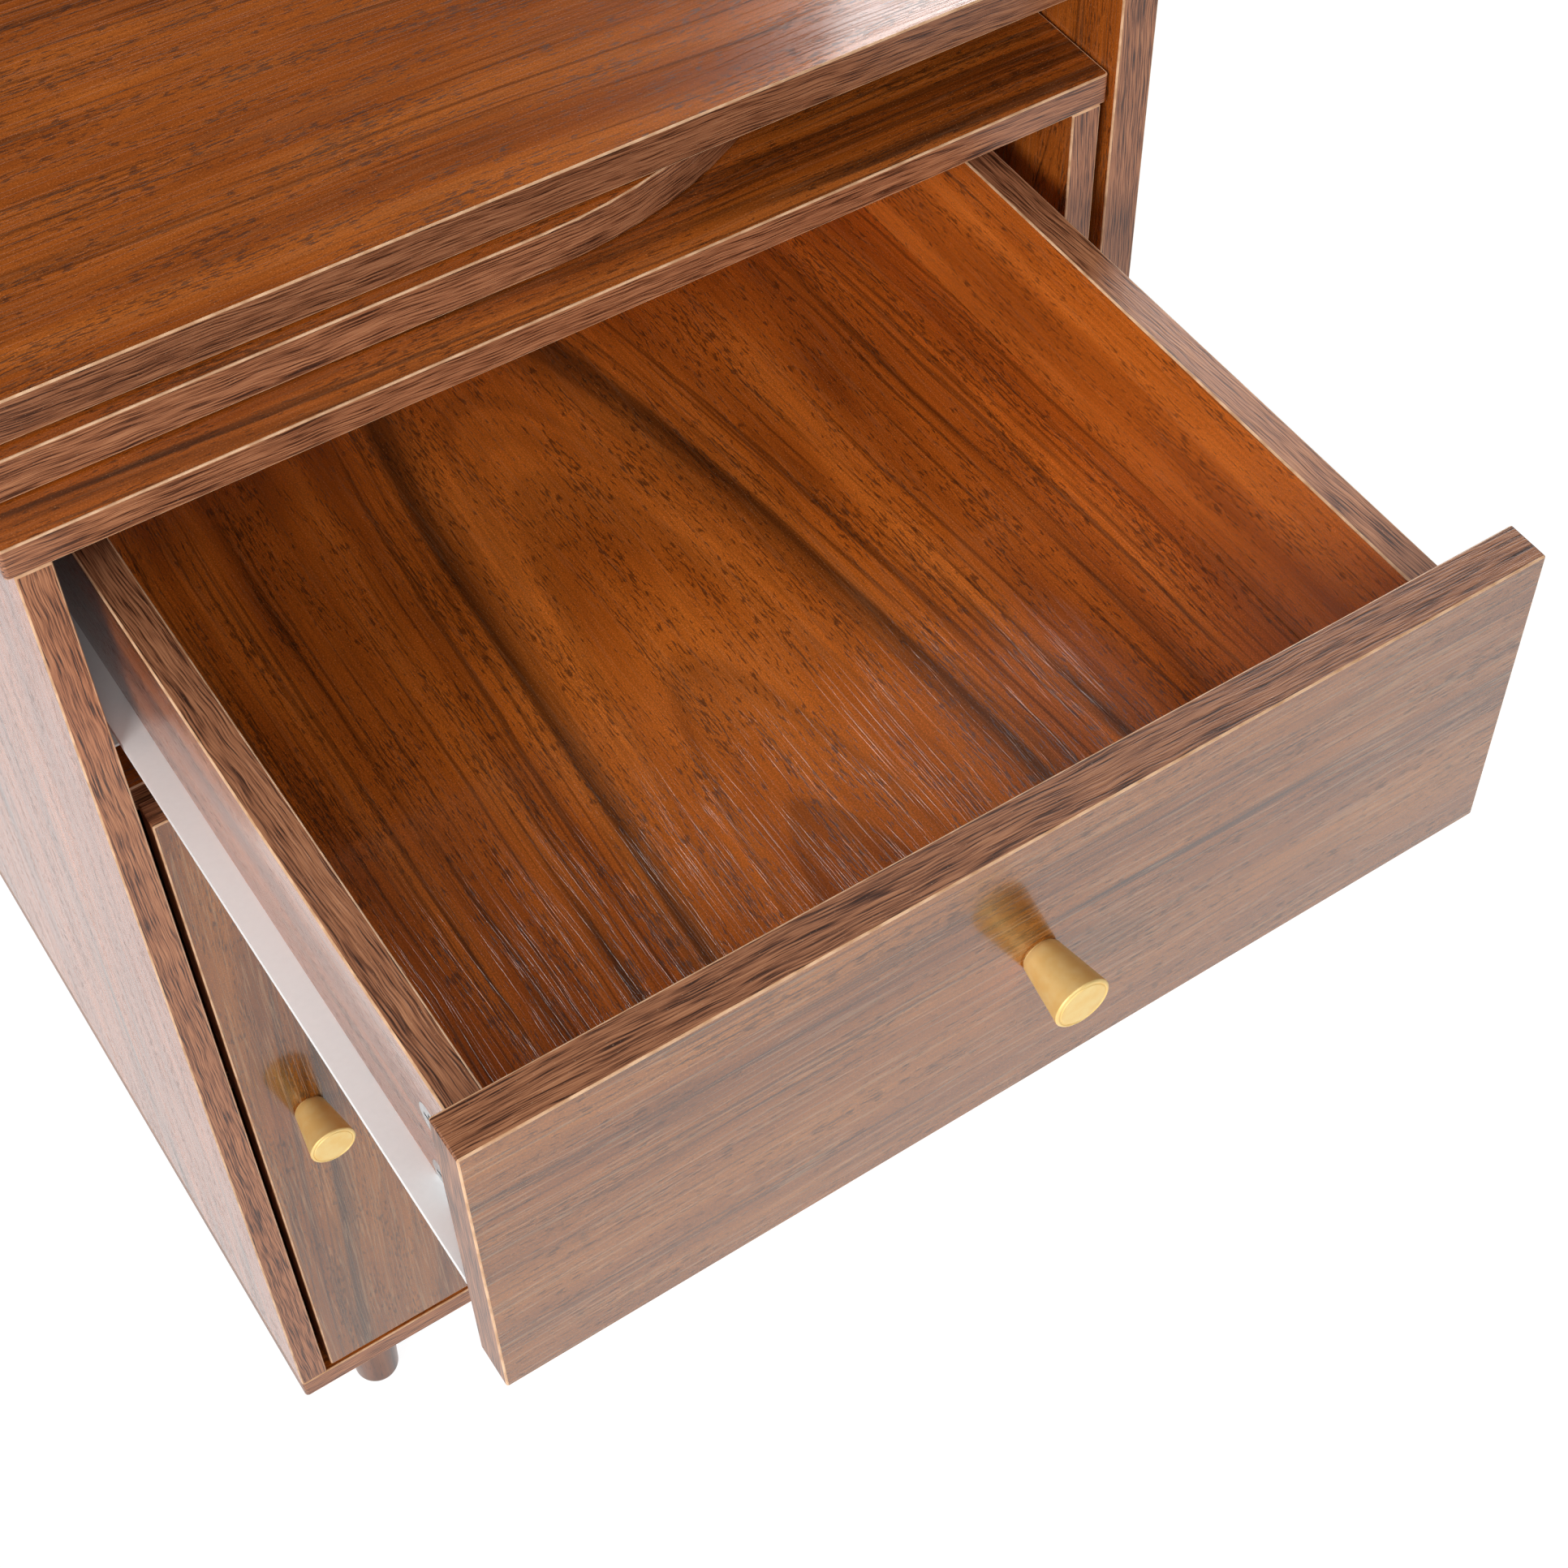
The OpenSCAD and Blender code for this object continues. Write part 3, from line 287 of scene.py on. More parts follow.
def with_pores(mat, wood, u, v, side):
    """The colour with fibre, clustered pores, dots and painted glints, and a map of the pores."""
    fibre = mat.noise(mat.stretched(u, v, 26.0, 620.0, 2.0))
    wood = mat.mix(0.34, wood, mat.ramp(fibre, (0.3, 0.60), (0.7, 1.40)), "MULTIPLY")
    crowd = mat.ramp(mat.noise(mat.stretched(u, v, 14.0, 90.0, 17.0)), (0.38, 0.0), (0.64, 0.17))
    pores = mat.plus(mat.noise(mat.stretched(u, side, 170.0, 1350.0, 6.0), detail=1.0), crowd)
    pores = mat.ramp(pores, (0.67, 0.0), (0.74, 1.0))
    wood = mat.mix(mat.times(pores, 0.66), wood, DARK_PORE)
    dots = mat.noise(mat.stretched(u, v, 1300.0, 1700.0, 9.0), detail=1.0)
    wood = mat.mix(0.5, wood, mat.ramp(dots, (0.34, 0.62), (0.50, 1.0), (0.62, 1.36)), "MULTIPLY")
    # Painted highlight: pale specks mixed into the colour stand in for tiny glints on the lacquer.
    glints = mat.ramp(dots, (0.68, 0.0), (0.76, 1.0))
    return mat.mix(mat.times(glints, 0.34), wood, PAINTED_GLINT), pores


def with_grooves(mat, wood, u, v, side, pores, groove_sheen):
    """The colour with a pale painted sheen along the pressed grooves, as strong as asked, the height that
    grooves and pores lower and fine grain raises, and the roughness, which pores and grain add to."""
    ridges = mat.noise(mat.stretched(u, side, 8.0, 380.0, 21.0), detail=1.0, roughness=0.6)
    ridges = mat.ramp(ridges, (0.455, 1.0), (0.490, 0.0), (0.525, 1.0))
    # Painted sheen: pale lines along the grooves stand in for the light that the grooves catch.
    wood = mat.mix(mat.times(mat.minus(1.0, ridges), groove_sheen), wood, PAINTED_GROOVE_SHEEN)
    grain = mat.noise(mat.stretched(u, v, 1300.0, 2300.0, 4.0))
    height = mat.plus(mat.minus(ridges, mat.times(pores, 0.25)), mat.times(grain, 0.20))
    rough = mat.plus(mat.plus(mat.times(pores, 0.15), mat.times(grain, 0.12)), 0.15)
    return wood, height, rough


def walnut_print(name, light=1.0, groove_sheen=0.06, coat=0.5):
    """The printed sheet: light multiplies its browns, and a value other than 1 makes a copy with light,
    shade or sheen painted in; the next is how strong the painted sheen in its grooves is, and coat is the
    weight of its clear lacquer."""
    mat = new_material(name)
    u, v = mat.sheet_place()
    side, radius = trunk_place(mat, u, v)
    wood = band_colour(mat, u, v, radius, light)
    wood = with_year_lines(mat, wood, u, radius)
    wood, pores = with_pores(mat, wood, u, v, side)
    wood, height, rough = with_grooves(mat, wood, u, v, side, pores, groove_sheen)
    return mat.finish(wood, roughness=rough, bump=height, depth=PRESS_DEPTH,
                      Coat_Weight=coat, Coat_Roughness=0.09, Coat_IOR=1.5)


sheet = walnut_print("walnut_sheet")
# Painted light in part: a copy 1.62 times lighter for the drawer's bottom and right side, which look brighter
# than the lamps light them; the right side's print is also paler.
painted_light_sheet = walnut_print("painted_light_walnut_sheet", light=1.62)
# Painted sheen: a greyer copy, less red and more green and blue, with strong pale groove lines, for the
# drawer front and the door; it stands in for the white sheen on their faces.
sheen_painted_sheet = walnut_print("sheen_painted_walnut_sheet", light=(0.86, 1.15, 1.45), groove_sheen=0.30)
# Painted light and sheen: a copy 1.5 times lighter with little lacquer, for the pedestal's left side,
# standing in for the bright key light and glossy veil there.
painted_light_satin_sheet = walnut_print("painted_light_satin_walnut_sheet", light=1.50, coat=0.10)
print("sheets:", [material.name for material in (sheet, painted_light_sheet, sheen_painted_sheet, painted_light_satin_sheet)])

# %% [markdown]
# ## The edge banding
# The bare edges of the boards are covered with a plastic strip, printed darker and much streakier
# than the sheet. Where the strip is trimmed flush with the sheet, its pale inside shows as a thin
# tan line along every corner, with a material of its own. Inside a bore the pressed chips show.

# %% The strip, its trimmed corner and the board's core
def banding_print(name, light=1.0):
    """Colour: fine short dashes, from red brown to nearly black, a little aslant along the strip."""
    mat = new_material(name)
    u, v = mat.sheet_place()
    sway = mat.minus(mat.noise(mat.stretched(u, v, 28.0, 40.0)), 0.5)
    side = mat.plus(v, mat.times(sway, 0.0035))
    tilt = mat.plus(side, mat.times(u, 0.035))
    streak = mat.noise(mat.stretched(u, tilt, 44.0, 1500.0, 2.0), detail=2.5, roughness=0.62)
    soft = mat.noise(mat.stretched(u, side, 5.0, 210.0, 7.0))
    value = mat.plus(mat.times(streak, 0.78), mat.times(soft, 0.22))
    wood = mat.ramp(value, (0.39, (0.050, 0.016, 0.008)), (0.455, (0.220, 0.078, 0.034)),
                    (0.52, (0.430, 0.170, 0.078)), (0.66, (0.620, 0.280, 0.135)))
    wood = mat.mix(1.0, wood, light, "MULTIPLY")
    specks = mat.noise(mat.stretched(u, v, 900.0, 2400.0, 4.0), detail=1.0)
    specks = mat.ramp(specks, (0.68, 0.0), (0.76, 1.0))
    wood = mat.mix(mat.times(specks, 0.35), wood, (0.70, 0.47, 0.31))
    return mat.finish(wood, roughness=0.36, bump=streak, depth=0.00014)


def trimmed_corner(name):
    """Tan plastic, cut: pale, with a slow change of shade along the corner."""
    mat = new_material(name)
    tone = mat.noise(mat.point(), scale=140.0, detail=3.0)
    tan = mat.ramp(tone, (0.36, (0.64, 0.355, 0.185)), (0.62, (0.90, 0.57, 0.34)))
    return mat.finish(tan, roughness=0.42, bump=tone, depth=0.00003)


def chip_core(name):
    """Pressed wood chips: each cell is a chip in its own shade of straw brown, under a fine dust."""
    mat = new_material(name)
    point = mat.point()
    chips = mat.step("ShaderNodeTexVoronoi", out=1, Vector=point, Scale=620.0)
    shade = mat.ramp(chips, (0.1, (0.30, 0.18, 0.09)), (0.9, (0.62, 0.46, 0.27)))
    dust = mat.noise(point, scale=1400.0)
    shade = mat.mix(0.4, shade, mat.ramp(dust, (0.3, 0.45), (0.7, 1.0)), "MULTIPLY")
    return mat.finish(shade, roughness=0.85, bump=dust, depth=0.0002)


strip = banding_print("edge_strip")
# Painted shade: a copy of the strip 0.8 times as light, for the edges of the upper top, the drawer front and
# the drawer's left side, which look darker.
painted_shade_strip = banding_print("painted_shade_edge_strip", light=0.80)
corner = trimmed_corner("strip_corner")
core = chip_core("chip_core")
print("edge finishes:", [material.name for material in (strip, painted_shade_strip, corner, core)])

# %% [markdown]
# ## From a bare solid to a finished board
# A board of the engineering model is a solid of loose triangles, with its bores but with corners of
# no width. A bevel on so many bores and slivers would tear. The corners that show are cut as in the
# workshop instead: the board is trimmed by a second body that is the board's own outline carried
# through its thickness with a small rounded profile, and an exact boolean keeps what lies in both.
# Whatever the trimming body cut is the pale line of the strip.

# %% A closed surface from a grid
MERGE = 1e-7


def closed_mesh(name, grid, both_ends=True):
    """A mesh over a grid of points, rows by spots around: a quad between each point and its three
    neighbours, and a face over the first row, and over the last one if both ends are asked for."""
    rows, around = grid.shape[:2]
    row, spot = np.meshgrid(np.arange(rows - 1), np.arange(around), indexing="ij")
    here = row * around + spot
    there = row * around + (spot + 1) % around
    quads = np.stack([here, there, there + around, here + around], -1).reshape(-1, 4).tolist()
    ends = [list(range(around))[::-1]]
    if both_ends:
        ends.append(list(range((rows - 1) * around, rows * around)))
    mesh = bpy.data.meshes.new(name)
    mesh.from_pydata(grid.reshape(-1, 3).tolist(), [], quads + ends)
    work = bmesh.new()
    work.from_mesh(mesh)
    bmesh.ops.remove_doubles(work, verts=work.verts, dist=MERGE)
    bmesh.ops.recalc_face_normals(work, faces=work.faces)
    work.to_mesh(mesh)
    work.free()
    return mesh


# %% The trimming body
X, Y, Z = 0, 1, 2
TRIM = 0.0008
SLACK = 0.00002
TOUCH = 0.00001
LEAST_RADIUS = 1.25 * TRIM
SMALL_RADIUS = 0.01
SMALL_STEPS, LARGE_STEPS = 8, 73
PROFILE_ANGLES = np.radians([0, 30, 60, 90])


class Outline:
    """A board's box, the axis that its faces look along, the two axes p and q of its outline, the
    radii of the outline's corners and, for a board with a round end, that end's radius and middle."""

    def __init__(self, node, points, face_axis):
        self.low, self.high = (np.array(c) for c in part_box(node))
        self.axis = face_axis
        self.p, self.q = [axis for axis in (X, Y, Z) if axis != face_axis]
        corners = ((0, 0), (1, 0), (1, 1), (0, 1))
        self.radii = [self.corner_radius(points, end_p, end_q) for end_p, end_q in corners]
        self.end = max(self.radii[1:3])
        self.end_middle = (self.high[self.p] - self.end, (self.low[self.q] + self.high[self.q]) / 2)

    def corner_radius(self, points, end_p, end_q):
        """How far along a side its first point lies from the corner, but at least LEAST_RADIUS."""
        side_p = (self.high if end_p else self.low)[self.p]
        side_q = (self.high if end_q else self.low)[self.q]
        on_side = np.abs(points[:, self.q] - side_q) < TOUCH
        return max(np.abs(points[on_side, self.p] - side_p).min(), LEAST_RADIUS)

    def rounded(self):
        """Outline points and outward directions: a corner's arc is its centre plus radius times
        (cos, sin), over a quarter turn."""
        spots, ways = [], []
        for turn, (end_p, end_q, radius) in enumerate(zip((0, 1, 1, 0), (0, 0, 1, 1), self.radii)):
            steps = SMALL_STEPS if radius < SMALL_RADIUS else LARGE_STEPS
            angle = np.radians(180 + 90 * turn) + np.linspace(0, np.pi / 2, steps)
            way = np.stack([np.cos(angle), np.sin(angle)], 1)
            centre = np.array([self.high[self.p] - radius if end_p else self.low[self.p] + radius,
                               self.high[self.q] - radius if end_q else self.low[self.q] + radius])
            spots.append(centre + radius * way)
            ways.append(way)
        return np.concatenate(spots), np.concatenate(ways)

    def trimming_body(self, name):
        """The outline carried through the thickness: pulled in by TRIM times (1 - sin t) at the depth
        TRIM times (1 - cos t) from either face, so that both corners are quarter rounds. It stands
        SLACK proud of the flat faces and edges, so that it cuts the corners alone."""
        spots, ways = self.rounded()
        inset = TRIM * (1 - np.sin(PROFILE_ANGLES))
        depth = TRIM * (1 - np.cos(PROFILE_ANGLES))
        inset[-1] = -SLACK
        depth[0] = -SLACK
        inset = np.r_[inset, inset[::-1]]
        height = np.r_[self.low[self.axis] + depth, self.high[self.axis] - depth[::-1]]
        grid = np.empty((len(height), len(spots), 3))
        grid[:, :, self.p] = spots[:, 0] - inset[:, None] * ways[:, 0]
        grid[:, :, self.q] = spots[:, 1] - inset[:, None] * ways[:, 1]
        grid[:, :, self.axis] = height[:, None]
        return closed_mesh(name, grid)


# %% [markdown]
# A trimmed board carries four materials, by number: 0 the sheet on its faces, 1 the strip on its
# edges, 2 the trimmed corner and 3 the bare core in its bores. Some boards get a lighter, greyer or
# darker copy of the sheet or the strip, with light, sheen or shade painted in where they look brighter or
# darker than the lamps make them.

# %% Cut a board to its finished shape
SHEET, STRIP, CORNER, CORE = 0, 1, 2, 3
WELD = 1e-6
# Painted light, sheen and shade: these boards get the lighter, greyer or darker copies made above.
OWN_SHEET = {
    "drawer_bottom": painted_light_sheet, "drawer_right_side": painted_light_sheet,
    "drawer_front": sheen_painted_sheet, "door_panel": sheen_painted_sheet,
    "pedestal_left": painted_light_satin_sheet,
}
SHADE_PAINTED_EDGES = ("upper_top", "drawer_front", "drawer_left_side")


def board_materials(node):
    """The board's sheet, strip, trimmed corner and core, in the order of their numbers."""
    return OWN_SHEET.get(node, sheet), painted_shade_strip if node in SHADE_PAINTED_EDGES else strip, corner, core


def weld(node):
    """A copy of the node's mesh, with its loose triangles joined at their corners."""
    work = bmesh.new()
    work.from_mesh(nodes[node].data)
    bmesh.ops.remove_doubles(work, verts=work.verts, dist=WELD)
    mesh = bpy.data.meshes.new(node + "_board")
    work.to_mesh(mesh)
    work.free()
    return mesh


def trimmed(board, body):
    """The mesh that board and trimming body share, where what the body cut has the corner's number."""
    cutter = bpy.data.objects.new("trimmer", body)
    bpy.context.scene.collection.objects.link(cutter)
    body.polygons.foreach_set("material_index", np.full(len(body.polygons), CORNER, np.int32))
    cut = board.modifiers.new("trim", "BOOLEAN")
    cut.operation, cut.solver, cut.object = "INTERSECT", "EXACT", cutter
    cut.material_mode = "INDEX"
    for material in board.data.materials:
        body.materials.append(material)
    mesh = bpy.data.meshes.new_from_object(board.evaluated_get(bpy.context.evaluated_depsgraph_get()))
    board.modifiers.clear()
    bpy.data.objects.remove(cutter)
    return mesh


# %% [markdown]
# The faces are sorted with whole arrays: sheet or strip by the way that they look, and core if they
# lie deeper in the board than the trim. A face in a plane of the board's box is flat, so its shading
# normal is set to look straight out, which also keeps the long slivers between two bores from showing
# as lines. Each face corner then gets its place on the sheet, in metres, so that the print is never
# stretched. Along a round end that place is the distance run around it.

# %% Sort the faces and lay the sheet
SHALLOW = 0.0012
ON_PLANE = 0.00002
ROUND_END = 0.1
END_SHIFT = 4.0


def values_of(items, name, width=1):
    """An attribute of all items as an array, with one row per item if it has more than one value."""
    values = np.empty(len(items) * width, float if width > 1 else int)
    items.foreach_get(name, values)
    return values.reshape(-1, width) if width > 1 else values


def corner_points(mesh):
    """The point of every face corner, and the number of corners of every face."""
    points = values_of(mesh.vertices, "co", 3)[values_of(mesh.loops, "vertex_index")]
    return points, values_of(mesh.polygons, "loop_total")


def face_directions(mesh, outline):
    """For each face its centre and the axis it looks along, and for each corner its shading normal."""
    points, sizes = corner_points(mesh)
    centre = np.add.reduceat(points, np.r_[0, np.cumsum(sizes)[:-1]]) / sizes[:, None]
    main = np.abs(values_of(mesh.polygons, "normal", 3)).argmax(1)
    facing = values_of(mesh.corner_normals, "vector", 3)
    for axis in (X, Y, Z):
        for side, outwards in ((outline.low, -1.0), (outline.high, 1.0)):
            on_plane = np.abs(centre[:, axis] - side[axis]) < ON_PLANE
            main[on_plane] = axis
            facing[np.repeat(on_plane, sizes)] = outwards * np.eye(3)[axis]
    return centre, main, facing


def face_numbers(mesh, outline, centre, main):
    """The material number of each face. Deep is what lies more than SHALLOW below every side of the
    box and, beside a round end, less than half its radius from its middle."""
    deep = ((centre > outline.low + SHALLOW) & (centre < outline.high - SHALLOW)).all(1)
    if outline.end > ROUND_END:
        away = np.hypot(centre[:, outline.p] - outline.end_middle[0],
                        centre[:, outline.q] - outline.end_middle[1])
        deep &= away < 0.5 * outline.end
    deep &= main != outline.axis
    plain = np.where(deep, CORE, np.where(main == outline.axis, SHEET, STRIP))
    return np.where(values_of(mesh.polygons, "material_index") == CORNER, CORNER, plain)


def place_on_sheet(points, along, across, window):
    """Place on the sheet: (distance along the grain, distance across it), moved to the board's window."""
    return np.stack([points[:, along] + window[0], points[:, across] + window[1]], 1)


def unroll(points, outline):
    """Distance run along a round-ended edge: straight up to the arc, then radius times angle."""
    beyond = points[:, outline.p] - outline.end_middle[0]
    angle = np.arctan2(beyond, np.abs(points[:, outline.q] - outline.end_middle[1]))
    run = np.where(beyond > 0, outline.end_middle[0] + outline.end * angle, points[:, outline.p])
    return np.stack([run + END_SHIFT, points[:, outline.axis]], 1)


def sheet_places(mesh, outline, main, numbers, grain_axis, window):
    """Places for all face corners: faces by the grain's axis, and edges along their own length."""
    points, sizes = corner_points(mesh)
    main, edge = np.repeat(main, sizes), np.repeat(numbers, sizes) != SHEET
    width_axis = ({X, Y, Z} - {outline.axis, grain_axis}).pop()
    places = place_on_sheet(points, grain_axis, width_axis, window)
    for look, run in ((outline.p, outline.q), (outline.q, outline.p)):
        here = (main == look) & edge
        places[here] = place_on_sheet(points[here], run, outline.axis, window)
    if outline.end > ROUND_END:
        here = (main != outline.axis) & edge
        places[here] = unroll(points[here], outline)
    return places


# %% [markdown]
# With these steps a board is finished in a few lines, and the list below gives each its own numbers:
# the axis that its faces look along, the axis of its grain, and the window of the sheet that it shows.
# The windows of the drawer's bottom and of the door are chosen so that an arch of the print shows
# where the real one has it. The drawer's bottom sits in grooves, so its corners aren't trimmed.

# %% The eighteen boards
SHARP_EDGE = math.radians(20)


def finish_board(node, face_axis, grain_axis, window):
    """Makes the board's finished copy, which stands for the node, and returns it."""
    board = bpy.data.objects.new(node + "_board", weld(node))
    bpy.context.scene.collection.objects.link(board)
    for material in board_materials(node):
        board.data.materials.append(material)
    outline = Outline(node, values_of(board.data.vertices, "co", 3), face_axis)
    if node != "drawer_bottom":
        board.data = trimmed(board, outline.trimming_body(node + "_trimmer"))
    mesh = board.data
    mesh.name = node + "_board"
    mesh.shade_smooth()
    mesh.set_sharp_from_angle(angle=SHARP_EDGE)
    centre, main, facing = face_directions(mesh, outline)
    numbers = face_numbers(mesh, outline, centre, main)
    mesh.polygons.foreach_set("material_index", numbers.astype(np.int32))
    mesh.normals_split_custom_set(facing.tolist())
    places = sheet_places(mesh, outline, main, numbers, grain_axis, window)
    mesh.uv_layers.new(name="sheet").data.foreach_set("uv", places.astype(np.float32).ravel())
    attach(board, body_of[node])
    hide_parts(node)
    return board


BOARDS = {
    "upper_top": (Z, X, (2.10, 0.95)),
    "pedestal_top": (Z, X, (3.40, 1.70)),
    "pedestal_base": (Z, X, (5.10, 1.20)),
    "right_slab": (X, Z, (0.90, 2.10)),
    "left_slab": (X, Z, (6.30, 1.60)),
    "pedestal_left": (X, Z, (4.20, 1.35)),
    "pedestal_right": (X, Z, (7.50, 1.10)),
    "modesty_panel": (Y, X, (1.40, 1.30)),
    "rear_rail": (Y, X, (1.50, 1.50)),
    "divider": (Z, X, (2.80, 0.60)),
    "shelf": (Z, X, (6.60, 0.85)),
    "drawer_front": (Y, X, (1.00, 0.62)),
    "drawer_left_side": (X, Y, (1.90, 0.90)),
    "drawer_right_side": (X, Y, (1.30, 1.31)),
    "drawer_back": (Y, X, (7.00, 1.05)),
    "drawer_bottom": (Z, Y, (0.524, -0.328)),
    "door_panel": (Y, Z, (0.10, -0.22)),
    "swing_top": (Z, X, (6.90, 1.95)),
}
for name, (face_axis, grain_axis, window) in BOARDS.items():
    board = finish_board(name, face_axis, grain_axis, window)
    print(f"{name}: {len(board.data.polygons)} faces")

# %% [markdown]
# ## Metals, plastics and turned wood
# The rest of the nodes keep their own shape and only need a finish. Each finish below is a recipe on
# Object coordinates, which are metres in the desk's frame.

# %% Metals and coatings
def satin_brass(name):
    """Gold-coloured fittings, partly metal and partly pale coating, with a fine sanded grain."""
    mat = new_material(name)
    point = mat.point()
    fine = mat.noise(point, scale=2600.0)
    cloud = mat.ramp(mat.noise(point, scale=180.0), (0.35, 0.0), (0.65, 1.0))
    colour = mat.mix(cloud, (0.97, 0.66, 0.235), (1.0, 0.74, 0.31))
    rough = mat.plus(mat.times(fine, 0.16), 0.40)
    return mat.finish(colour, roughness=rough, metallic=0.4, bump=fine, depth=0.00003)


def zinc_plate(name):
    """Bright zinc: cells like crystals, each a slightly different grey."""
    mat = new_material(name)
    cells = mat.step("ShaderNodeTexVoronoi", out=1, Vector=mat.point(), Scale=900.0)
    colour = mat.ramp(cells, (0.0, (0.55, 0.56, 0.57)), (1.0, (0.74, 0.75, 0.76)))
    return mat.finish(colour, roughness=0.34, metallic=1.0, bump=cells, depth=0.00001)


def white_coat(name):
    """Smooth sprayed coating with a faint orange-peel bump."""
    mat = new_material(name)
    peel = mat.noise(mat.point(), scale=420.0)
    colour = mat.ramp(peel, (0.3, 0.94), (0.7, 0.97))
    return mat.finish(colour, roughness=0.32, bump=peel, depth=0.00004)


# %% Plastics, wood and hardboard
def moulded(name, colour, other, roughness=0.45):
    """A plain material between two close colours, in soft clouds, with a fine bump."""
    mat = new_material(name)
    point = mat.point()
    cloud = mat.noise(point, scale=150.0, detail=3.0)
    return mat.finish(mat.ramp(cloud, (0.3, colour), (0.7, other)), roughness=roughness,
                      bump=mat.noise(point, scale=1800.0), depth=0.00002)


def turned_wood(name):
    """Lacquered wood along Z: a noise stretched upright gives the grain."""
    mat = new_material(name)
    tall = mat.step("ShaderNodeVectorMath", settings={"operation": "MULTIPLY"},
                    _0=mat.point(), _1=(1.0, 1.0, 0.05))
    bands = mat.noise(tall, scale=120.0, detail=3.0, distortion=0.4)
    pores = mat.ramp(mat.noise(tall, scale=1500.0, detail=1.0), (0.60, 0.0), (0.68, 1.0))
    colour = mat.ramp(bands, (0.36, (0.10, 0.032, 0.012)), (0.50, (0.22, 0.075, 0.028)),
                      (0.66, (0.33, 0.125, 0.05)))
    colour = mat.mix(mat.times(pores, 0.5), colour, (0.04, 0.014, 0.007))
    return mat.finish(colour, roughness=0.28, bump=pores, depth=0.00004)


def pressed_fibre(name):
    """Hardboard: brown felt of fibres, with the fine screen pattern of its back as a bump."""
    mat = new_material(name)
    point = mat.point()
    felt = mat.noise(point, scale=260.0, detail=4.0, roughness=0.7)
    screen = mat.step("ShaderNodeTexVoronoi", Vector=point, Scale=1100.0)
    colour = mat.ramp(felt, (0.34, (0.155, 0.075, 0.036)), (0.62, (0.270, 0.145, 0.074)))
    return mat.finish(colour, roughness=0.7, bump=screen, depth=0.00012)


finishes = {
    "brass_knob": satin_brass("knob_brass"),
    "brass_fitting": satin_brass("hinge_brass"),
    "zinc": zinc_plate("zinc_plate"),
    "white_steel": white_coat("white_coat"),
    "nylon": moulded("cream_nylon", (0.66, 0.64, 0.50), (0.74, 0.72, 0.60)),
    "dark_plastic": moulded("brown_plastic", (0.050, 0.026, 0.017), (0.075, 0.040, 0.026)),
    "walnut_leg": turned_wood("turned_walnut"),
    "hardboard": pressed_fibre("hardboard"),
    "beech": moulded("plain_beech", (0.52, 0.34, 0.17), (0.62, 0.43, 0.24), 0.6),
}
for name, piece in nodes.items():
    if slot_of[name] in finishes:
        piece.data.materials.clear()
        piece.data.materials.append(finishes[slot_of[name]])
print("finished fittings:", sum(slot in finishes for slot in slot_of.values()))

# %% [markdown]
# ## The knobs
# Each knob is a turned cone: narrow where it meets the front, wide at its face. Its surface is a
# profile, radius against height, spun about the knob's axis. The profile is a straight flank, a rim
# that is a quarter of a circle, a slim turned ring and a face that swells by a fraction of a
# millimetre. A small step back at the neck leaves the dark joint that is seen on the real one.

# %% Turn the knobs
NECK_RADIUS = 0.0075
FACE_RADIUS = 0.0112
JOINT_IN, JOINT_LOW, JOINT_HIGH = 0.0006, 0.0005, 0.0008
RIM = 0.0011
RING_WIDTH = 0.0003
RING_DEPTH = 0.0003
FACE_DROP = 0.00002
SWELL = 0.0003
KNOB_SHARP_EDGE = math.radians(35)


def knob_profile(length):
    """Rows of (radius, height): the joint's step, the flank, the rim as centre plus RIM times
    (cos, sin), the ring, and the face, which drops with the square of the radius."""
    neck = NECK_RADIUS - JOINT_IN
    joint = [[neck, 0.0], [neck, JOINT_LOW], [NECK_RADIUS, JOINT_HIGH]]
    share = np.linspace(0.05, 1.0, 12)
    flank = np.stack([NECK_RADIUS + (FACE_RADIUS - NECK_RADIUS) * share, (length - RIM) * share], 1)
    turn = np.linspace(0.15, np.pi / 2, 8)
    rim = np.stack([FACE_RADIUS - RIM + RIM * np.cos(turn), length - RIM - SWELL + RIM * np.sin(turn)], 1)
    inner = FACE_RADIUS - RIM - RING_WIDTH
    ring = [[inner, length - SWELL - RING_DEPTH], [inner - RING_WIDTH, length - SWELL - RING_DEPTH]]
    radius = np.linspace(inner - 2 * RING_WIDTH, 0.0, 14)
    face = np.stack([radius, length - SWELL * (radius / inner) ** 2 - FACE_DROP], 1)
    return np.concatenate([joint, flank, rim, ring, face])


def turned_knob(name, around=96):
    """The profile spun about -Y: a grid over height and angle, at radius (cos, sin) of the angle."""
    low, high = (np.array(c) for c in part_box(name))
    rows = knob_profile(high[1] - low[1])
    angle = np.linspace(0, 2 * np.pi, around, endpoint=False)
    grid = np.empty((len(rows), around, 3))
    grid[:, :, 0] = (low[0] + high[0]) / 2 + rows[:, :1] * np.cos(angle)
    grid[:, :, 1] = high[1] - rows[:, 1:]
    grid[:, :, 2] = (low[2] + high[2]) / 2 + rows[:, :1] * np.sin(angle)
    mesh = closed_mesh(name + "_turned", grid, both_ends=False)
    mesh.shade_smooth()
    mesh.set_sharp_from_angle(angle=KNOB_SHARP_EDGE)
    mesh.materials.append(finishes["brass_knob"])
    piece = bpy.data.objects.new(name + "_turned", mesh)
    bpy.context.scene.collection.objects.link(piece)
    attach(piece, body_of[name])
    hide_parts(name)
    return piece


for name in ("drawer_knob", "door_knob"):
    print(name, "has", len(turned_knob(name).data.polygons), "faces")

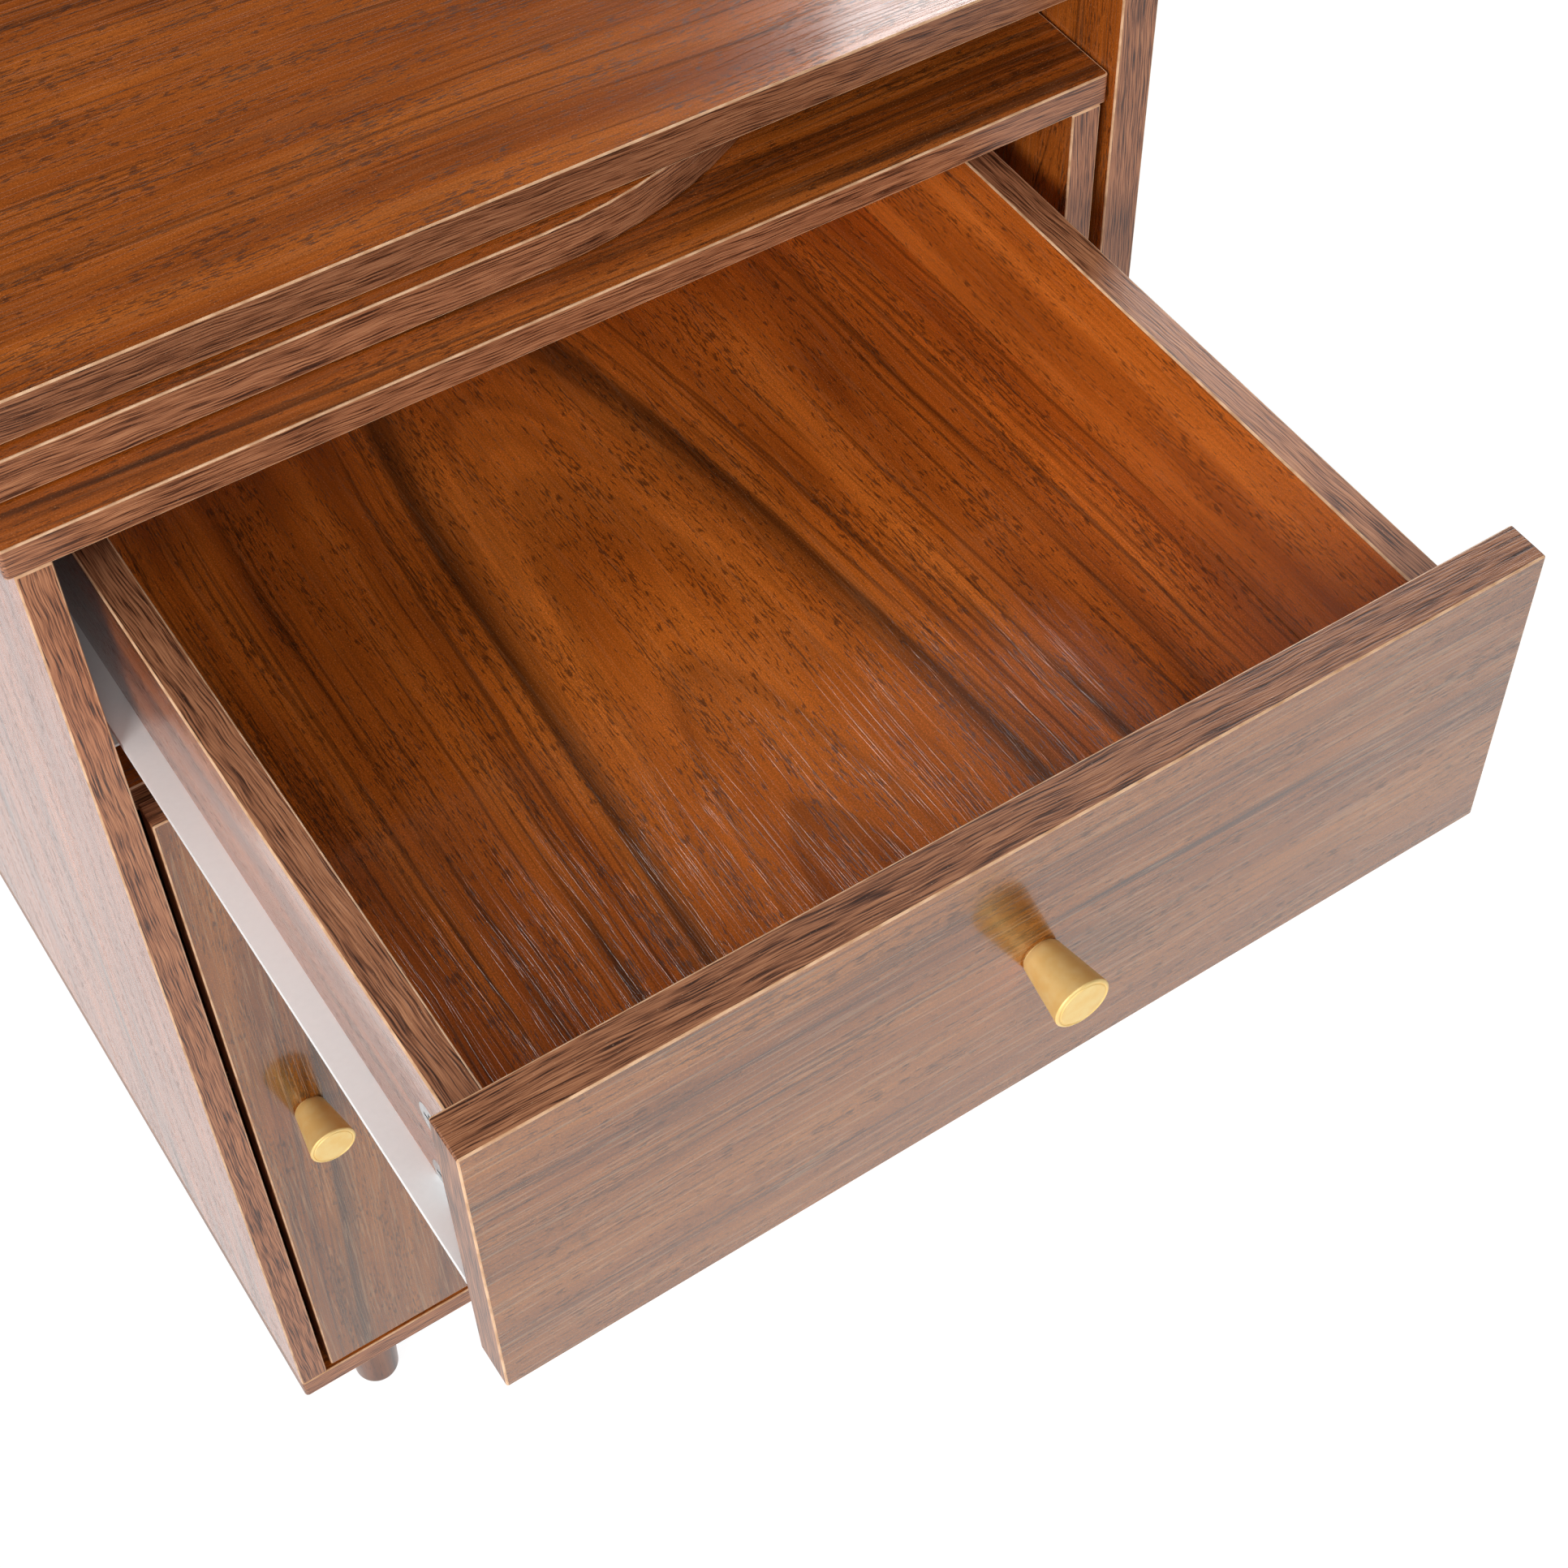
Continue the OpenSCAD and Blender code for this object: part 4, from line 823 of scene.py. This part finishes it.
# %% [markdown]
# ## The studio
# The desk stands on a white floor in a bright room. The floor is a plain pale surface for light that
# bounces, so it takes the desk's soft shadow. Where the camera or a reflection looks at it, it glows
# almost white and shows a fainter shadow.

# %% Floor
FLOOR_SIDE = 60.0
FLOOR_DROP = 0.0002
half = FLOOR_SIDE / 2
corners = [(-half, -half), (half, -half), (half, half), (-half, half)]
floor_mesh = bpy.data.meshes.new("floor")
floor_mesh.from_pydata([(x, y, -FLOOR_DROP) for x, y in corners], [], [(0, 1, 2, 3)])
floor = bpy.data.objects.new("floor", floor_mesh)
bpy.context.scene.collection.objects.link(floor)

pale = new_material("floor_white")
matte = pale.step("ShaderNodeBsdfDiffuse", Color=0.80)
faint = pale.step("ShaderNodeBsdfDiffuse", Color=0.16)
glow = pale.step("ShaderNodeEmission", Color=1.0, Strength=0.95)
bright = pale.step("ShaderNodeAddShader", _0=faint, _1=glow)
looked_at = pale.rays("Camera", "Glossy", "Transmission")
surface = pale.step("ShaderNodeMixShader", _0=looked_at, _1=matte, _2=bright)
pale.feed(pale.tree.nodes["Material Output"].inputs[0], surface)
floor_mesh.materials.append(pale.owner)
print("floor:", FLOOR_SIDE, "m square")

# %% [markdown]
# Four softboxes light the desk. A low one on the left is the key light, which gives the left side its
# veil and leaves the drawer's left half in shade. A second hangs high over the back left. A weak one
# in front fills the drawer front, and a small one behind on the right gives the tops their sheen.

# %% Softboxes
AIM = np.array([0.30, -0.05, 0.62])
LAMPS = {
    "low_left_softbox": ((-2.0, -1.6, 1.6), (1.6, 1.6), 58.0),
    "high_left_softbox": ((-1.7, 0.7, 2.8), (1.6, 1.6), 22.0),
    "front_softbox": ((0.10, -2.1, 2.6), (1.6, 1.6), 27.0),
    "right_softbox": ((2.35, 1.85, 2.35), (1.0, 1.1), 38.0),
}


def aimed(place, target):
    """The matrix of an object at a place whose own -Z points at the target and whose X is level."""
    z = (place - target) / np.linalg.norm(place - target)
    x = np.cross([0, 0, 1.0], z)
    x = x / np.linalg.norm(x)
    stand = np.eye(4)
    stand[:3] = np.stack([x, np.cross(z, x), z, place], 1)
    return Matrix(stand.tolist())


def softbox(name, place, size, watts):
    """A rectangular lamp at a place, turned towards the desk."""
    lamp = bpy.data.lights.new(name, "AREA")
    lamp.shape = "RECTANGLE"
    lamp.size, lamp.size_y = size
    lamp.energy = watts
    thing = bpy.data.objects.new(name, lamp)
    thing.matrix_world = aimed(np.array(place), AIM)
    bpy.context.scene.collection.objects.link(thing)


for name, (place, size, watts) in LAMPS.items():
    softbox(name, place, size, watts)
print("lamps:", ", ".join(LAMPS))

# %% [markdown]
# The room itself is nearly dark and only fills the shadows. A reflection sees a band that is white at
# the horizon and dark above it, as a real studio's walls and ceiling are, and the camera sees white.

# %% Room
room = Recipe(bpy.data.worlds.new("room"))
rise = room.step("ShaderNodeSeparateXYZ", out=2, _0=room.step("ShaderNodeTexCoord"))
horizon = room.ramp(rise, (0.03, 1.0), (0.22, 0.04))
fill = room.tree.nodes["Background"]
room.feed(fill.inputs["Color"], (1.0, 0.98, 0.96))
room.feed(fill.inputs["Strength"], 0.06)
mirrored = room.step("ShaderNodeBackground", Color=horizon)
white = room.step("ShaderNodeBackground", Color=1.0)
lit = room.step("ShaderNodeMixShader", _0=room.rays("Glossy"), _1=fill.outputs[0], _2=mirrored)
seen = room.step("ShaderNodeMixShader", _0=room.rays("Camera", "Transmission"), _1=lit, _2=white)
room.feed(room.tree.nodes["World Output"].inputs[0], seen)
bpy.context.scene.world = room.owner
bpy.context.scene.view_settings.view_transform = "Standard"
print("room fill:", round(fill.inputs["Strength"].default_value, 3))
